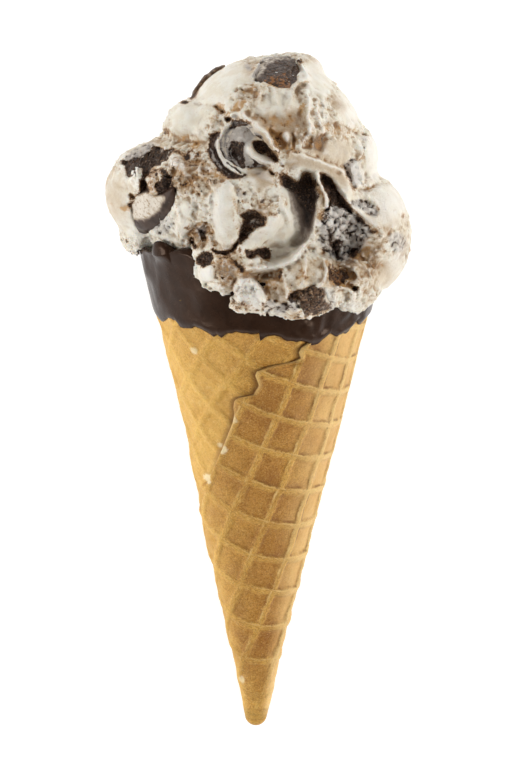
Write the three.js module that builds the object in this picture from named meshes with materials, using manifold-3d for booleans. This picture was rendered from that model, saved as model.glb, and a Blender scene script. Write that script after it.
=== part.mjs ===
// A rolled waffle cone with a chocolate-dipped rim and one large, hand-paddled
// scoop of vanilla ice cream with broken dark cookies and chocolate in it.
// It lies on its side, on the scoop's flat spot and the wafer's tip.
// Millimetres, +Z up, the tip towards -Y, the scoop towards +Y.
import * as THREE from 'three';
import Module from 'manifold-3d';

// ---- driving dimensions -------------------------------------------------
const HALF_ANGLE = THREE.MathUtils.degToRad(12.11); // half the cone's opening angle
const TILT = THREE.MathUtils.degToRad(14.0);        // the axis above the floor
const YAW = THREE.MathUtils.degToRad(0.38);         // the axis towards +X
const TIP_R = 3.89;                                 // rounded wafer tip
const TIP_X = -1.49, TIP_Y = -105.9;                // centre of that rounding
const SHEET = 1.6;                                  // one layer of wafer, at the seam's step
const WALL = 3.6;                                   // wall where the wafer lies double
const GRID_U = [-2.7287, 0.0330, -0.0857];          // waffle lines, family 1, on the unrolled sheet
const GRID_V = [12.2482, -0.0799, -0.0269];         // waffle lines, family 2
const POCKET_DEPTH = 0.85;                          // depth of a waffle cell
const POCKET_HALF = 0.37;                           // half width of a cell, in grid pitches
const DISC_D = 198, DISC_TURN = THREE.MathUtils.degToRad(46); // round edge of the unrolled sheet
const DIP_H = 150;                                  // height of the chocolate's lower edge on the axis
const COAT = 1.15;                                  // thickness of the chocolate
const GAP = 0.3;                                    // clearance between neighbouring pieces
const PLUG_FROM = 46;                               // the ice cream fills the cone from here up
const COLS = 26;                                    // facets round the cone
const SCOOP_C = [1, 64, 45];                        // middle of the scoop
const SCOOP_DETAIL = 9;                            // fineness of the scoop's surface
const SHIFT = new THREE.Vector3(2.415, 3.415, 0);        // moves the origin under the middle of the whole

const wasm = await Module();
wasm.setup();
const rad = THREE.MathUtils.degToRad;
const mix = (a, b, t) => a + (b - a) * t;
const smooth = (a, b, x) => { const t = Math.min(1, Math.max(0, (x - a) / (b - a))); return t * t * (3 - 2 * t); };

// ---- noise from a fixed integer hash -------------------------------------
const hash3 = (x, y, z) => {
  let h = Math.imul(x, 374761393) ^ Math.imul(y, 668265263) ^ Math.imul(z, 2147483647 ^ 0x5bd1e995);
  h = Math.imul(h ^ (h >>> 13), 1274126177);
  return ((h ^ (h >>> 16)) >>> 0) / 4294967295;
};
const noise3 = (x, y, z) => {
  const i = Math.floor(x), j = Math.floor(y), k = Math.floor(z);
  const f = (t) => t * t * (3 - 2 * t), u = f(x - i), v = f(y - j), w = f(z - k);
  const c = (a, b, d) => hash3(i + a, j + b, k + d);
  return mix(mix(mix(c(0, 0, 0), c(1, 0, 0), u), mix(c(0, 1, 0), c(1, 1, 0), u), v),
    mix(mix(c(0, 0, 1), c(1, 0, 1), u), mix(c(0, 1, 1), c(1, 1, 1), u), v), w) * 2 - 1;
};

// ---- the cone's own frame --------------------------------------------------
const AXIS = new THREE.Vector3(Math.cos(TILT) * Math.sin(YAW), Math.cos(TILT) * Math.cos(YAW), Math.sin(TILT));
const E1 = new THREE.Vector3().crossVectors(AXIS, new THREE.Vector3(0, 0, 1)).normalize(); // towards +X
const E2 = new THREE.Vector3().crossVectors(E1, AXIS);                                      // upwards
const APEX = new THREE.Vector3(TIP_X, TIP_Y, TIP_R).addScaledVector(AXIS, -TIP_R / Math.sin(HALF_ANGLE));
const onCone = (h, phi, off) => { // height along the axis, angle from the top, distance off the surface
  const r = h * Math.tan(HALF_ANGLE) + off / Math.cos(HALF_ANGLE);
  return APEX.clone().addScaledVector(AXIS, h).addScaledVector(E1, r * Math.sin(phi)).addScaledVector(E2, r * Math.cos(phi));
};
const SIN_A = Math.sin(HALF_ANGLE), COS_A = Math.cos(HALF_ANGLE);

// the seam: the sheet's round edge, with a scallop at every row of cells
const seamAngle = (h) => {
  const s = h / COS_A;
  const base = (DISC_TURN - Math.acos(Math.min(0.999, s / DISC_D))) / SIN_A;
  const q = ((s + 2.5) / 11.8) % 1;
  return base + rad(5) * (q < 0.75 ? q / 0.75 * 2 - 1 : 1 - (q - 0.75) / 0.25 * 2) * smooth(84, 96, h);
};
// how far the visible sheet lies below the outer one, turn = 0..1 from the seam round the back
const layerDrop = (h, turn) => {
  const fade = 1 - smooth(DIP_H - 9, DIP_H - 1, h);
  return -SHEET * smooth(0.5, 1, turn) * fade * smooth(18, 40, h);
};
// the top edge: the sheet's round edge again, highest at the upper left
const rimHeight = (phi) => {
  const d = Math.atan2(Math.sin(phi + rad(48)), Math.cos(phi + rad(48)));
  return 162 + 9 * Math.cos(phi + rad(55)) + 6 * Math.exp(-((d / rad(22)) ** 2));
};
const knob = (phi) => {
  const d = Math.atan2(Math.sin(phi + rad(62)), Math.cos(phi + rad(62)));
  return 3.2 * Math.exp(-((d / rad(5)) ** 2));
};

// ---- solids from rings of points -------------------------------------------
// rings: closed rings of equal length; closed = the last ring joins the first
const toManifold = (pos, tri) => new wasm.Manifold(new wasm.Mesh({
  numProp: 3, vertProperties: new Float32Array(pos), triVerts: new Uint32Array(tri) }));
const ringSolid = (rings, { closed = false, start = null, end = null } = {}) => {
  const n = rings[0].length, pos = [], tri = [];
  rings.forEach((r) => r.forEach((p) => pos.push(p.x, p.y, p.z)));
  const m = closed ? rings.length : rings.length - 1;
  for (let i = 0; i < m; i++) for (let j = 0; j < n; j++) {
    const a = i * n + j, b = i * n + (j + 1) % n, c = ((i + 1) % rings.length) * n + j, d = ((i + 1) % rings.length) * n + (j + 1) % n;
    const len = (p, q) => Math.hypot(pos[3 * p] - pos[3 * q], pos[3 * p + 1] - pos[3 * q + 1], pos[3 * p + 2] - pos[3 * q + 2]);
    if (len(a, d) < len(b, c)) tri.push(a, b, d, a, d, c); // the shorter diagonal keeps the form round
    else tri.push(a, b, c, b, d, c);
  }
  if (!closed) {
    const cap = (p, first, flip) => {
      const k = pos.length / 3; pos.push(p.x, p.y, p.z);
      for (let j = 0; j < n; j++) {
        const a = first + j, b = first + (j + 1) % n;
        tri.push(...(flip ? [k, b, a] : [k, a, b]));
      }
    };
    cap(start, 0, true);
    cap(end, (rings.length - 1) * n, false);
  }
  let s = toManifold(pos, tri);
  if (s.volume() < 0) { for (let i = 0; i < tri.length; i += 3) [tri[i], tri[i + 1]] = [tri[i + 1], tri[i]]; s = toManifold(pos, tri); }
  return s;
};
const boxSolid = (x0, x1, y0, y1, z0, z1) => {
  const q = (z) => [[x0, y0], [x1, y0], [x1, y1], [x0, y1]].map(([x, y]) => new THREE.Vector3(x, y, z));
  return ringSolid([q(z0), q(z1)], { start: new THREE.Vector3((x0 + x1) / 2, (y0 + y1) / 2, z0), end: new THREE.Vector3((x0 + x1) / 2, (y0 + y1) / 2, z1) });
};
const largest = (solid) => solid.decompose().sort((a, b) => b.volume() - a.volume())[0]; // drops slivers
const aboveFloor = boxSolid(-200, 200, -300, 300, 0, 300);

// ---- waffle cone -----------------------------------------------------------
// outer surface, in columns that follow the seam; the last column lies under the flap
const coneRings = (off, hs) => hs.map((h) => {
  const ring = [];
  for (let j = 0; j <= COLS; j++) {
    const turn = j / COLS, phi = seamAngle(Math.max(h, 20)) + turn * 2 * Math.PI;
    const top = Math.min(h, rimHeight(phi));
    ring.push(onCone(top, phi, off + layerDrop(h, j === COLS ? 1 : turn) - (j === COLS ? 0.02 : 0)));
  }
  return ring;
});
const rimRing = (off, extra = 0) => { // ring at the rim, same columns as at the top row
  const ring = [];
  for (let j = 0; j <= COLS; j++) {
    const phi = seamAngle(DIP_H + 3) + j / COLS * 2 * Math.PI;
    ring.push(onCone(rimHeight(phi) + extra, phi, off - (j === COLS ? 0.02 : 0)));
  }
  return ring;
};
const tipC = new THREE.Vector3(TIP_X, TIP_Y, TIP_R);
const coneOuterHeights = [20, 32, 44, 57, 70, 83];
for (let k = 8; k < 13; k++) for (const q of [0.02, 0.75]) { // a ring at both ends of each scallop
  const h = ((k + q) * 11.8 - 2.5) * COS_A;
  if (h > 92 && h < DIP_H) coneOuterHeights.push(h);
}
coneOuterHeights.push(DIP_H + 3);
const tipRings = [];
for (const lat of [-65, -40, -12]) { // rounded end
  const ring = [], c = Math.cos(rad(lat)) * TIP_R, a = Math.sin(rad(lat)) * TIP_R;
  for (let j = 0; j <= COLS; j++) {
    const phi = seamAngle(20) + j / COLS * 2 * Math.PI;
    ring.push(tipC.clone().addScaledVector(AXIS, a).addScaledVector(E1, (c - (j === COLS ? 0.02 : 0)) * Math.sin(phi)).addScaledVector(E2, (c - (j === COLS ? 0.02 : 0)) * Math.cos(phi)));
  }
  tipRings.push(ring);
}
const outer = [...tipRings, ...coneRings(0, coneOuterHeights), rimRing(0)];
const innerRim = rimRing(-WALL), innerLow = [];
for (let j = 0; j <= COLS; j++) innerLow.push(onCone(PLUG_FROM - 1, seamAngle(DIP_H + 3) + j / COLS * 2 * Math.PI, -WALL - (j === COLS ? 0.02 : 0)));
let cone = ringSolid([...outer, innerRim, innerLow], {
  start: tipC.clone().addScaledVector(AXIS, -TIP_R), end: APEX.clone().addScaledVector(AXIS, PLUG_FROM - 1) });

// waffle cells, one pocket for each square of the grid
const DET = GRID_U[1] * GRID_V[2] - GRID_U[2] * GRID_V[1];
const gridPhase = (psi) => smooth(rad(120), rad(260), psi); // the sheet slips a little as it is rolled
const flatFromGrid = (u, v) => {
  let psi = 0, x = 0, y = 0;
  for (let k = 0; k < 8; k++) {
    const w = gridPhase(psi), a = u - 0.38 * w - GRID_U[0], b = v + 0.2 * w - GRID_V[0];
    x = (a * GRID_V[2] - b * GRID_U[2]) / DET; y = (GRID_U[1] * b - GRID_V[1] * a) / DET;
    psi = Math.atan2(y, x) / SIN_A;
  }
  return { s: Math.hypot(x, y), psi };
};
const pockets = [];
for (let iu = -24; iu < 8; iu++) for (let iv = -8; iv < 14; iv++) {
  const mid = flatFromGrid(iu + 0.5, iv + 0.5), hm = mid.s * COS_A;
  if (hm < 38 || hm > DIP_H - 3) continue;
  const mt = (mid.psi - seamAngle(Math.max(20, hm))) / (2 * Math.PI);
  if (mt < 0.03 || mt > 0.97) continue;
  const turnAt = (h, psi) => (psi - seamAngle(Math.max(20, h))) / (2 * Math.PI);
  const div = hm < 48 ? 2 : 1, grid = (half, off) => {
    const rows = [];
    for (let a = 0; a <= div; a++) {
      const row = [];
      for (let b = 0; b <= div; b++) {
        const q = flatFromGrid(iu + 0.5 + half * (2 * a / div - 1), iv + 0.5 + half * (2 * b / div - 1));
        const h = q.s * COS_A, t = Math.min(0.985, Math.max(0.012, turnAt(h, q.psi))); // cells stop at the seam
        if (h < 34) return null;
        row.push(onCone(h, seamAngle(Math.max(20, h)) + t * 2 * Math.PI, off + layerDrop(h, t)));
      }
      rows.push(row);
    }
    return rows;
  };
  const taper = 0.1, up = 0.7;
  const low = grid(POCKET_HALF - taper, -POCKET_DEPTH), high = grid(POCKET_HALF + taper * up / POCKET_DEPTH, up);
  if (!low || !high) continue;
  const pos = [], tri = [], n = div + 1;
  for (const g of [low, high]) for (const row of g) for (const p of row) pos.push(p.x, p.y, p.z);
  const at = (g, a, b) => g * n * n + a * n + b;
  for (let g = 0; g < 2; g++) for (let a = 0; a < div; a++) for (let b = 0; b < div; b++) {
    const q = [at(g, a, b), at(g, a + 1, b), at(g, a + 1, b + 1), at(g, a, b + 1)];
    tri.push(...(g ? [q[0], q[1], q[2], q[0], q[2], q[3]] : [q[0], q[2], q[1], q[0], q[3], q[2]]));
  }
  const edge = [];
  for (let a = 0; a < div; a++) edge.push([a, 0]);
  for (let b = 0; b < div; b++) edge.push([div, b]);
  for (let a = div; a > 0; a--) edge.push([a, div]);
  for (let b = div; b > 0; b--) edge.push([0, b]);
  edge.forEach(([a, b], k) => {
    const [c, d] = edge[(k + 1) % edge.length];
    tri.push(at(0, a, b), at(0, c, d), at(1, c, d), at(0, a, b), at(1, c, d), at(1, a, b));
  });
  let solid = toManifold(pos, tri);
  if (solid.volume() < 0) { for (let i = 0; i < tri.length; i += 3) [tri[i], tri[i + 1]] = [tri[i + 1], tri[i]]; solid = toManifold(pos, tri); }
  pockets.push(solid);
}
cone = largest(cone.subtract(wasm.Manifold.union(pockets)).intersect(aboveFloor));

// ---- chocolate coat round the rim ---------------------------------------------
const dipEdge = (phi) => DIP_H + 1.4 * noise3(Math.cos(phi) * 3.1, Math.sin(phi) * 3.1, 4.2) + 1.3 * noise3(Math.cos(phi) * 9, Math.sin(phi) * 9, 1.7);
const coatSection = (phi) => {
  const top = rimHeight(phi), low = dipEdge(phi), wave = 0.25 * noise3(Math.cos(phi) * 5, Math.sin(phi) * 5, 9.1);
  return [
    onCone(low, phi, GAP), onCone(low - 0.3, phi, GAP + 0.45), onCone(low + 1.4, phi, GAP + COAT + wave),
    onCone(mix(low, top, 0.55), phi, GAP + COAT - wave), onCone(top + 0.2, phi, GAP + COAT + wave),
    onCone(top + 1.7 + knob(phi), phi, GAP + 0.1), onCone(top + 1.7 + knob(phi), phi, -WALL - GAP + 0.4),
    onCone(top + 0.2, phi, -WALL - GAP - 0.9), onCone(top - 7, phi, -WALL - GAP - 0.7),
    onCone(top - 7, phi, -WALL - GAP), onCone(top + GAP, phi, -WALL - GAP), onCone(top + GAP, phi, GAP),
  ];
};
const COAT_COLS = 36, coatColumns = [];
for (let j = 0; j < COAT_COLS; j++) coatColumns.push(coatSection(j / COAT_COLS * 2 * Math.PI));
const coatRings = coatColumns[0].map((_, k) => coatColumns.map((c) => c[k]));
const coat = ringSolid(coatRings, { closed: true }).intersect(aboveFloor);

// ---- ice cream -------------------------------------------------------------------
// Lobes of the hand-paddled scoop: centre x, y, z, radii along x, y, z, turn about z in degrees.
const LOBES = [
  [0.8, 69.8, 47, 31.2, 31.8, 37, 0],    // upper ball
  [-3.5, 55.5, 42.5, 46, 22, 43.5, -9],  // wide skirt
  [31.6, 46, 45, 13, 18, 27, 0],         // right lobe
  [-36, 58.2, 44, 13.2, 13, 24, 10],     // left lobe
  [-22, 78.5, 56, 9.5, 8.6, 14, 20],     // shoulder, upper left
  [26.5, 72, 46, 9.3, 13, 20, 0],        // shoulder, upper right
  [9, 96, 50, 11, 6.3, 14, 0],           // crown
  [-10, 37, 66, 14, 12, 17, -15],        // drape over the front of the rim
  [10, 30, 68, 14, 11, 14, 5],
  [24, 32, 56, 12, 11, 18, 15],
  [-20, 45, 28, 15, 12, 18, 0],          // drape at the back
  [14, 38, 22, 22, 14, 16, 0],
  [-2, 62, 22, 30, 24, 24.5, 0],         // underside
];
const JOIN = 3.0; // how softly neighbouring lobes run together
const lobeDist = (p, [cx, cy, cz, rx, ry, rz, turn]) => {
  const c = Math.cos(rad(turn)), s = Math.sin(rad(turn)), dx = p.x - cx, dy = p.y - cy, dz = p.z - cz;
  const x = (dx * c + dy * s) / rx, y = (-dx * s + dy * c) / ry, z = dz / rz;
  const k0 = Math.hypot(x, y, z), k1 = Math.hypot(x / rx, y / ry, z / rz);
  return k1 < 1e-9 ? -Math.min(rx, ry, rz) : k0 * (k0 - 1) / k1;
};
const scoopDist = (p) => {
  let d = 1e3;
  for (const l of LOBES) {
    const e = lobeDist(p, l), h = Math.max(0, 1 - Math.abs(d - e) / JOIN);
    d = Math.min(d, e) - h * h * JOIN / 4;
  }
  return d + 1.1 * noise3(p.x / 9, p.y / 9, p.z / 9) + 0.6 * noise3(p.x / 4.5 + 7, p.y / 4.5, p.z / 4.5);
};
const solidFromSphere = (detail, place) => {
  const g = new THREE.IcosahedronGeometry(1, detail), a = g.attributes.position, key = new Map(), pos = [], tri = [];
  for (let i = 0; i < a.count; i++) {
    const d = new THREE.Vector3().fromBufferAttribute(a, i).normalize();
    const k = [d.x, d.y, d.z].map((v) => Math.round(v * 1e5)).join(',');
    if (!key.has(k)) { const p = place(d); key.set(k, pos.length / 3); pos.push(p.x, p.y, p.z); }
    tri.push(key.get(k));
  }
  return toManifold(pos, tri);
};
const scoopCentre = new THREE.Vector3(...SCOOP_C);
const scoop = solidFromSphere(SCOOP_DETAIL, (d) => {
  let t = 70;
  for (let k = 0; k < 60; k++) {
    const e = scoopDist(scoopCentre.clone().addScaledVector(d, t));
    if (e < 0.02) break;
    t -= Math.max(0.05, e * 0.6);
  }
  return scoopCentre.clone().addScaledVector(d, t);
});
const ringAt = (h, off, n = 32) => { const r = []; for (let j = 0; j < n; j++) r.push(onCone(h, j / n * 2 * Math.PI, off)); return r; };
const rimSolid = (() => { // everything the rim and its chocolate take up, grown by the gap
  const n = COAT_COLS, low = [], up = [], top = [], in0 = [];
  for (let j = 0; j < n; j++) {
    const phi = j / n * 2 * Math.PI, t = rimHeight(phi);
    low.push(onCone(120, phi, COAT + 3 * GAP)); up.push(onCone(t + 0.3, phi, COAT + 3 * GAP));
    top.push(onCone(t + 2.1 + knob(phi), phi, 2 * GAP)); in0.push(onCone(t + 2.1 + knob(phi), phi, -WALL));
  }
  return ringSolid([low, up, top, in0], { start: APEX.clone().addScaledVector(AXIS, 120), end: APEX.clone().addScaledVector(AXIS, 164) });
})();
const plug = ringSolid([ringAt(PLUG_FROM, -WALL - GAP), ringAt(141, -WALL - GAP), ringAt(144, -WALL - 2 * GAP - 1.5), ringAt(186, -WALL - 2 * GAP - 1.5)], {
  start: APEX.clone().addScaledVector(AXIS, PLUG_FROM), end: APEX.clone().addScaledVector(AXIS, 186) });

// ---- cookie and chocolate pieces, pressed into the ice cream ----------------------
// name: centre, half sizes, turn about x, y, z in degrees, squareness, roughness, colour
const PIECES = {
  cookie_chunk_top: [[3.6, 91.4, 70.4], [6.8, 5.2, 4.6], [-48, 6, 6], 3.2, 0.10, 0x2b1d18],
  cookie_sliver_upper_left: [[-17.9, 90.0, 61.5], [1.9, 5.6, 5.0], [0, -18, -44], 3.0, 0.10, 0x2a1d19],
  cookie_disc_centre: [[-8.3, 68.6, 82.3], [8.8, 8.4, 2.6], [-4, -14, 0], 2.4, 0.05, 0x2c1f1a],
  cookie_chunk_mid: [[14.2, 57.2, 80.9], [5.2, 6.8, 4.4], [-14, 18, -22], 3.0, 0.10, 0x1d1613],
  cookie_chunk_left: [[-35.2, 64.9, 68.6], [6.4, 5.0, 4.4], [-24, -36, 20], 3.2, 0.12, 0x221814],
  chocolate_disc_left: [[-34.0, 52.8, 71.4], [6.0, 7.0, 3.0], [26, -40, -10], 2.3, 0.04, 0x4a352b],
  cookie_chunk_inner: [[-2.9, 47.8, 81.5], [3.0, 6.4, 3.6], [24, -6, -38], 3.0, 0.14, 0x3a2820],
  cookie_chunk_right: [[20.8, 34.2, 73.6], [4.6, 4.0, 3.8], [-14, 30, 10], 3.0, 0.14, 0x3b2a23],
  cookie_chunk_low_right: [[14.4, 25.2, 78.0], [5.8, 4.6, 3.6], [34, 16, 12], 3.0, 0.14, 0x2c2320],
};
const piece = ([c, half, turn, power, rough], grow) => {
  const m = new THREE.Matrix4().makeRotationFromEuler(new THREE.Euler(...turn.map(rad)));
  return solidFromSphere(1, (d) => {
    const r = (Math.abs(d.x) ** power + Math.abs(d.y) ** power + Math.abs(d.z) ** power) ** (-1 / power);
    const n = 1 + rough * noise3(d.x * 2.3 + c[0], d.y * 2.3 + c[1], d.z * 2.3 + c[2]);
    return new THREE.Vector3(d.x * r * (half[0] * n + grow), d.y * r * (half[1] * n + grow), d.z * r * (half[2] * n + grow))
      .applyMatrix4(m).add(new THREE.Vector3(...c));
  });
};
const pieceSolids = {}, cutters = [];
for (const [name, spec] of Object.entries(PIECES)) { pieceSolids[name] = piece(spec, 0); cutters.push(piece(spec, 0.45)); }

const below = boxSolid(-200, 200, -300, 300, -100, 0);
let iceCream = scoop.subtract(rimSolid).add(plug).subtract(wasm.Manifold.union(cutters)).subtract(below);
iceCream = largest(iceCream);

// ---- the group ---------------------------------------------------------------------
const toGeometry = (solid) => {
  const m = solid.getMesh(), n = m.vertProperties.length / m.numProp, pos = new Float32Array(n * 3);
  for (let i = 0; i < n; i++) for (let k = 0; k < 3; k++) pos[i * 3 + k] = m.vertProperties[i * m.numProp + k];
  const g = new THREE.BufferGeometry();
  g.setAttribute('position', new THREE.BufferAttribute(pos, 3));
  g.setIndex(new THREE.BufferAttribute(new Uint32Array(m.triVerts), 1));
  g.computeVertexNormals();
  return g;
};
const group = new THREE.Group();
const addPiece = (name, solid, color, roughness) => {
  const mesh = new THREE.Mesh(toGeometry(solid), new THREE.MeshStandardMaterial({ color, roughness, metalness: 0 }));
  mesh.name = name;
  mesh.position.copy(SHIFT);
  group.add(mesh);
};
addPiece('waffle_cone', cone, 0xd9a45c, 0.75);
addPiece('chocolate_coat', coat, 0x3e302a, 0.35);
addPiece('ice_cream', iceCream, 0xe8e2d4, 0.5);
for (const [name, solid] of Object.entries(pieceSolids)) addPiece(name, solid, PIECES[name][5], name.startsWith('chocolate') ? 0.35 : 0.6);

export default group;
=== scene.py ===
import math
import time

import bpy
import numpy as np
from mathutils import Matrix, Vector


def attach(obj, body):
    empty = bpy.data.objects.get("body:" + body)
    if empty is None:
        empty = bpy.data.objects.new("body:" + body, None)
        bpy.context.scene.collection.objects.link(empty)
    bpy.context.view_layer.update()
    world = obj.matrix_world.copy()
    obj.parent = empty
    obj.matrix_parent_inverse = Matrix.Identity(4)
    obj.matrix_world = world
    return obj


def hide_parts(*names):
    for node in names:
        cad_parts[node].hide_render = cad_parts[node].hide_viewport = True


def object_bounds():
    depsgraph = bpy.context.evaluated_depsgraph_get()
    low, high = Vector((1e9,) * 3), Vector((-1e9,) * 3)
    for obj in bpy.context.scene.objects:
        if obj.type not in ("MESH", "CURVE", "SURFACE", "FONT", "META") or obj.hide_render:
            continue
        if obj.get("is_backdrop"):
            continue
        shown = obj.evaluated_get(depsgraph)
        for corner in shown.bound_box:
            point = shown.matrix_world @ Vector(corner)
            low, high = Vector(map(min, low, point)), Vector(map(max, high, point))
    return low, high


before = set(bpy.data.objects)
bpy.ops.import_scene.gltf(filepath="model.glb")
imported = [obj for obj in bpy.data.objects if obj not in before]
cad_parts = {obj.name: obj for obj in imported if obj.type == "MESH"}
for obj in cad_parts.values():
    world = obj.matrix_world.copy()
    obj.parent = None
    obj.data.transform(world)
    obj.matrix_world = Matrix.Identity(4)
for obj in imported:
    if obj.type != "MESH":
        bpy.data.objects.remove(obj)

T0 = time.time()
cad_box = [[float(v) for v in p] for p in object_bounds()]


F = np.float32

# ------------------------------------------------------------------ frame ---
# All shapes are worked out in millimetres in a frame whose X and Y lie under the
# middle of the view, and moved by SHIFT into the part's own frame.
SHIFT = np.array([2.415, 3.415, 0.0])
CAM_H, Z0, SCALE = 1000.0, 40.0, 0.31


def mm(px, py, z):
    s = SCALE * (CAM_H - z) / (CAM_H - Z0)
    return (px - 266.0) * s, (384.0 - py) * s


def to_px(x, y, z):
    s = SCALE * (CAM_H - z) / (CAM_H - Z0)
    return 266.0 + x / s, 384.0 - y / s


def sstep(a, b, x):
    t = np.clip((x - a) / (b - a), 0.0, 1.0)
    return t * t * (3.0 - 2.0 * t)


# ------------------------------------------------------------------ noise ---
def _hash(i, j, k, seed):
    with np.errstate(over="ignore"):
        h = (i.astype(np.uint32) * np.uint32(374761393)) ^ (j.astype(np.uint32) * np.uint32(668265263)) \
            ^ (k.astype(np.uint32) * np.uint32(2246822519)) ^ np.uint32((seed * 3266489917) & 0xFFFFFFFF)
        h = (h ^ (h >> np.uint32(15))) * np.uint32(2246822519)
        h = (h ^ (h >> np.uint32(13))) * np.uint32(3266489917)
        h = h ^ (h >> np.uint32(16))
    return h.astype(F) * F(1.0 / 4294967295.0)


def vnoise(x, y, z, seed=0):
    """Smooth value noise, -1 to 1."""
    xi, yi, zi = np.floor(x), np.floor(y), np.floor(z)
    fx, fy, fz = (x - xi).astype(F), (y - yi).astype(F), (z - zi).astype(F)
    i, j, k = xi.astype(np.int64), yi.astype(np.int64), zi.astype(np.int64)
    u = fx * fx * fx * (fx * (fx * 6 - 15) + 10)
    v = fy * fy * fy * (fy * (fy * 6 - 15) + 10)
    w = fz * fz * fz * (fz * (fz * 6 - 15) + 10)
    out = None
    for a in (0, 1):
        for b in (0, 1):
            c0 = _hash(i + a, j + b, k, seed)
            c1 = _hash(i + a, j + b, k + 1, seed)
            c = c0 + (c1 - c0) * w
            wt = (u if a else 1 - u) * (v if b else 1 - v)
            out = c * wt if out is None else out + c * wt
    return out * 2 - 1


def fbm(x, y, z, seed=0, octaves=3, gain=0.5, lac=2.07):
    a, s, tot = 1.0, 0.0, 0.0
    for o in range(octaves):
        s = s + a * vnoise(x, y, z, seed + 17 * o)
        tot += a
        x, y, z, a = x * lac + 3.1, y * lac - 1.7, z * lac + 5.3, a * gain
    return s / tot


def cells(x, y, z, seed=0):
    """Distance to the nearest and second nearest of jittered cell points."""
    i, j, k = np.floor(x), np.floor(y), np.floor(z)
    f1 = np.full(x.shape, 9.0, F)
    f2 = np.full(x.shape, 9.0, F)
    ident = np.zeros(x.shape, F)
    for a in (-1, 0, 1):
        for b in (-1, 0, 1):
            for c in (-1, 0, 1):
                ci, cj, ck = (i + a), (j + b), (k + c)
                n = [_hash(ci.astype(np.int64), cj.astype(np.int64), ck.astype(np.int64), seed + q) for q in (0, 7, 13)]
                d = np.sqrt((ci + n[0] - x) ** 2 + (cj + n[1] - y) ** 2 + (ck + n[2] - z) ** 2).astype(F)
                closer = d < f1
                f2 = np.where(closer, f1, np.minimum(f2, d))
                ident = np.where(closer, n[0], ident)
                f1 = np.where(closer, d, f1)
    return f1, f2, ident


def smin(a, b, k):
    h = np.maximum(0, 1 - np.abs(a - b) / k)
    return np.minimum(a, b) - h * h * (k * 0.25)


def smax(a, b, k):
    return -smin(-a, -b, k)


# ------------------------------------------------------- meshes from fields ---
def surface_nets(d, h, origin):
    """Quads round the zero level of the field d, sampled every h from origin."""
    ins = d < 0
    cnt = np.zeros(tuple(n - 1 for n in d.shape), np.int8)
    for a in (0, 1):
        for b in (0, 1):
            for c in (0, 1):
                cnt += ins[a:d.shape[0] - 1 + a, b:d.shape[1] - 1 + b, c:d.shape[2] - 1 + c]
    act = (cnt > 0) & (cnt < 8)
    ai, aj, ak = np.nonzero(act)
    n = len(ai)
    idx = np.full(act.shape, -1, np.int32)
    idx[ai, aj, ak] = np.arange(n, dtype=np.int32)
    val = {}
    for a in (0, 1):
        for b in (0, 1):
            for c in (0, 1):
                val[a, b, c] = d[ai + a, aj + b, ak + c].astype(np.float64)
    acc = np.zeros((n, 3))
    m = np.zeros(n)
    for p in val:
        for ax in range(3):
            if p[ax] == 0:
                q = list(p)
                q[ax] = 1
                q = tuple(q)
                va, vb = val[p], val[q]
                cross = (va < 0) != (vb < 0)
                t = np.where(cross, va / np.where(cross, va - vb, 1), 0)
                for e in range(3):
                    acc[:, e] += np.where(cross, p[e] + (t if e == ax else 0), 0)
                m += cross
    pts = (np.stack([ai, aj, ak], 1) + acc / m[:, None]) * h + np.asarray(origin)[None]
    quads = []
    for ax in range(3):
        lo = [slice(None)] * 3
        hi = [slice(None)] * 3
        lo[ax] = slice(0, -1)
        hi[ax] = slice(1, None)
        s0, s1 = ins[tuple(lo)], ins[tuple(hi)]
        ch = s0 != s1
        o1, o2 = [e for e in range(3) if e != ax]
        cut = [slice(None)] * 3
        cut[o1] = slice(1, -1)
        cut[o2] = slice(1, -1)
        ei = np.array(np.nonzero(ch[tuple(cut)]))
        ei[o1] += 1
        ei[o2] += 1
        flip = s0[ei[0], ei[1], ei[2]]

        def cell(d1, d2):
            c = [ei[0].copy(), ei[1].copy(), ei[2].copy()]
            c[o1] -= d1
            c[o2] -= d2
            return idx[c[0], c[1], c[2]]
        q = np.stack([cell(1, 1), cell(0, 1), cell(0, 0), cell(1, 0)], 1)
        if ax == 1:
            flip = ~flip
        q[~flip] = q[~flip][:, ::-1]
        quads.append(q)
    return pts, np.concatenate(quads)


def keep_largest(pts, quads):
    """Only the largest connected part of a mesh."""
    n = len(pts)
    lab = np.arange(n)
    e = np.concatenate([quads[:, [0, 1]], quads[:, [1, 2]], quads[:, [2, 3]]])
    while True:
        a, b = lab[e[:, 0]], lab[e[:, 1]]
        mn = np.minimum(a, b)
        new = lab.copy()
        np.minimum.at(new, e[:, 0], mn)
        np.minimum.at(new, e[:, 1], mn)
        np.minimum.at(new, a, mn)
        np.minimum.at(new, b, mn)
        new = new[new]
        if (new == lab).all():
            break
        lab = new
    vals, counts = np.unique(lab, return_counts=True)
    good = lab == vals[counts.argmax()]
    remap = np.cumsum(good) - 1
    keep = good[quads[:, 0]]
    return pts[good], remap[quads[keep]]


# --------------------------------------------------------- the cone's frame ---
AL, TAU, EP = math.radians(12.6), math.radians(14.0), math.radians(0.81)
TIP_R = 3.5
TIPC = np.array([-3.26, -106.29, TIP_R])
AX = np.array([math.cos(TAU) * math.sin(EP), math.cos(TAU) * math.cos(EP), math.sin(TAU)])
E1 = np.cross(AX, [0, 0, 1.0]); E1 /= np.linalg.norm(E1)
E2 = np.cross(E1, AX)
APEX = TIPC - AX * (TIP_R / math.sin(AL))
SA, CA, TA = math.sin(AL), math.cos(AL), math.tan(AL)
SB = math.sin(math.radians(12.11))     # of the flat sheet the cone is rolled from
DH = 2.1                               # heights along the axis start this far below the apex
DIP_H = 150.0
rad = math.radians


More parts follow.
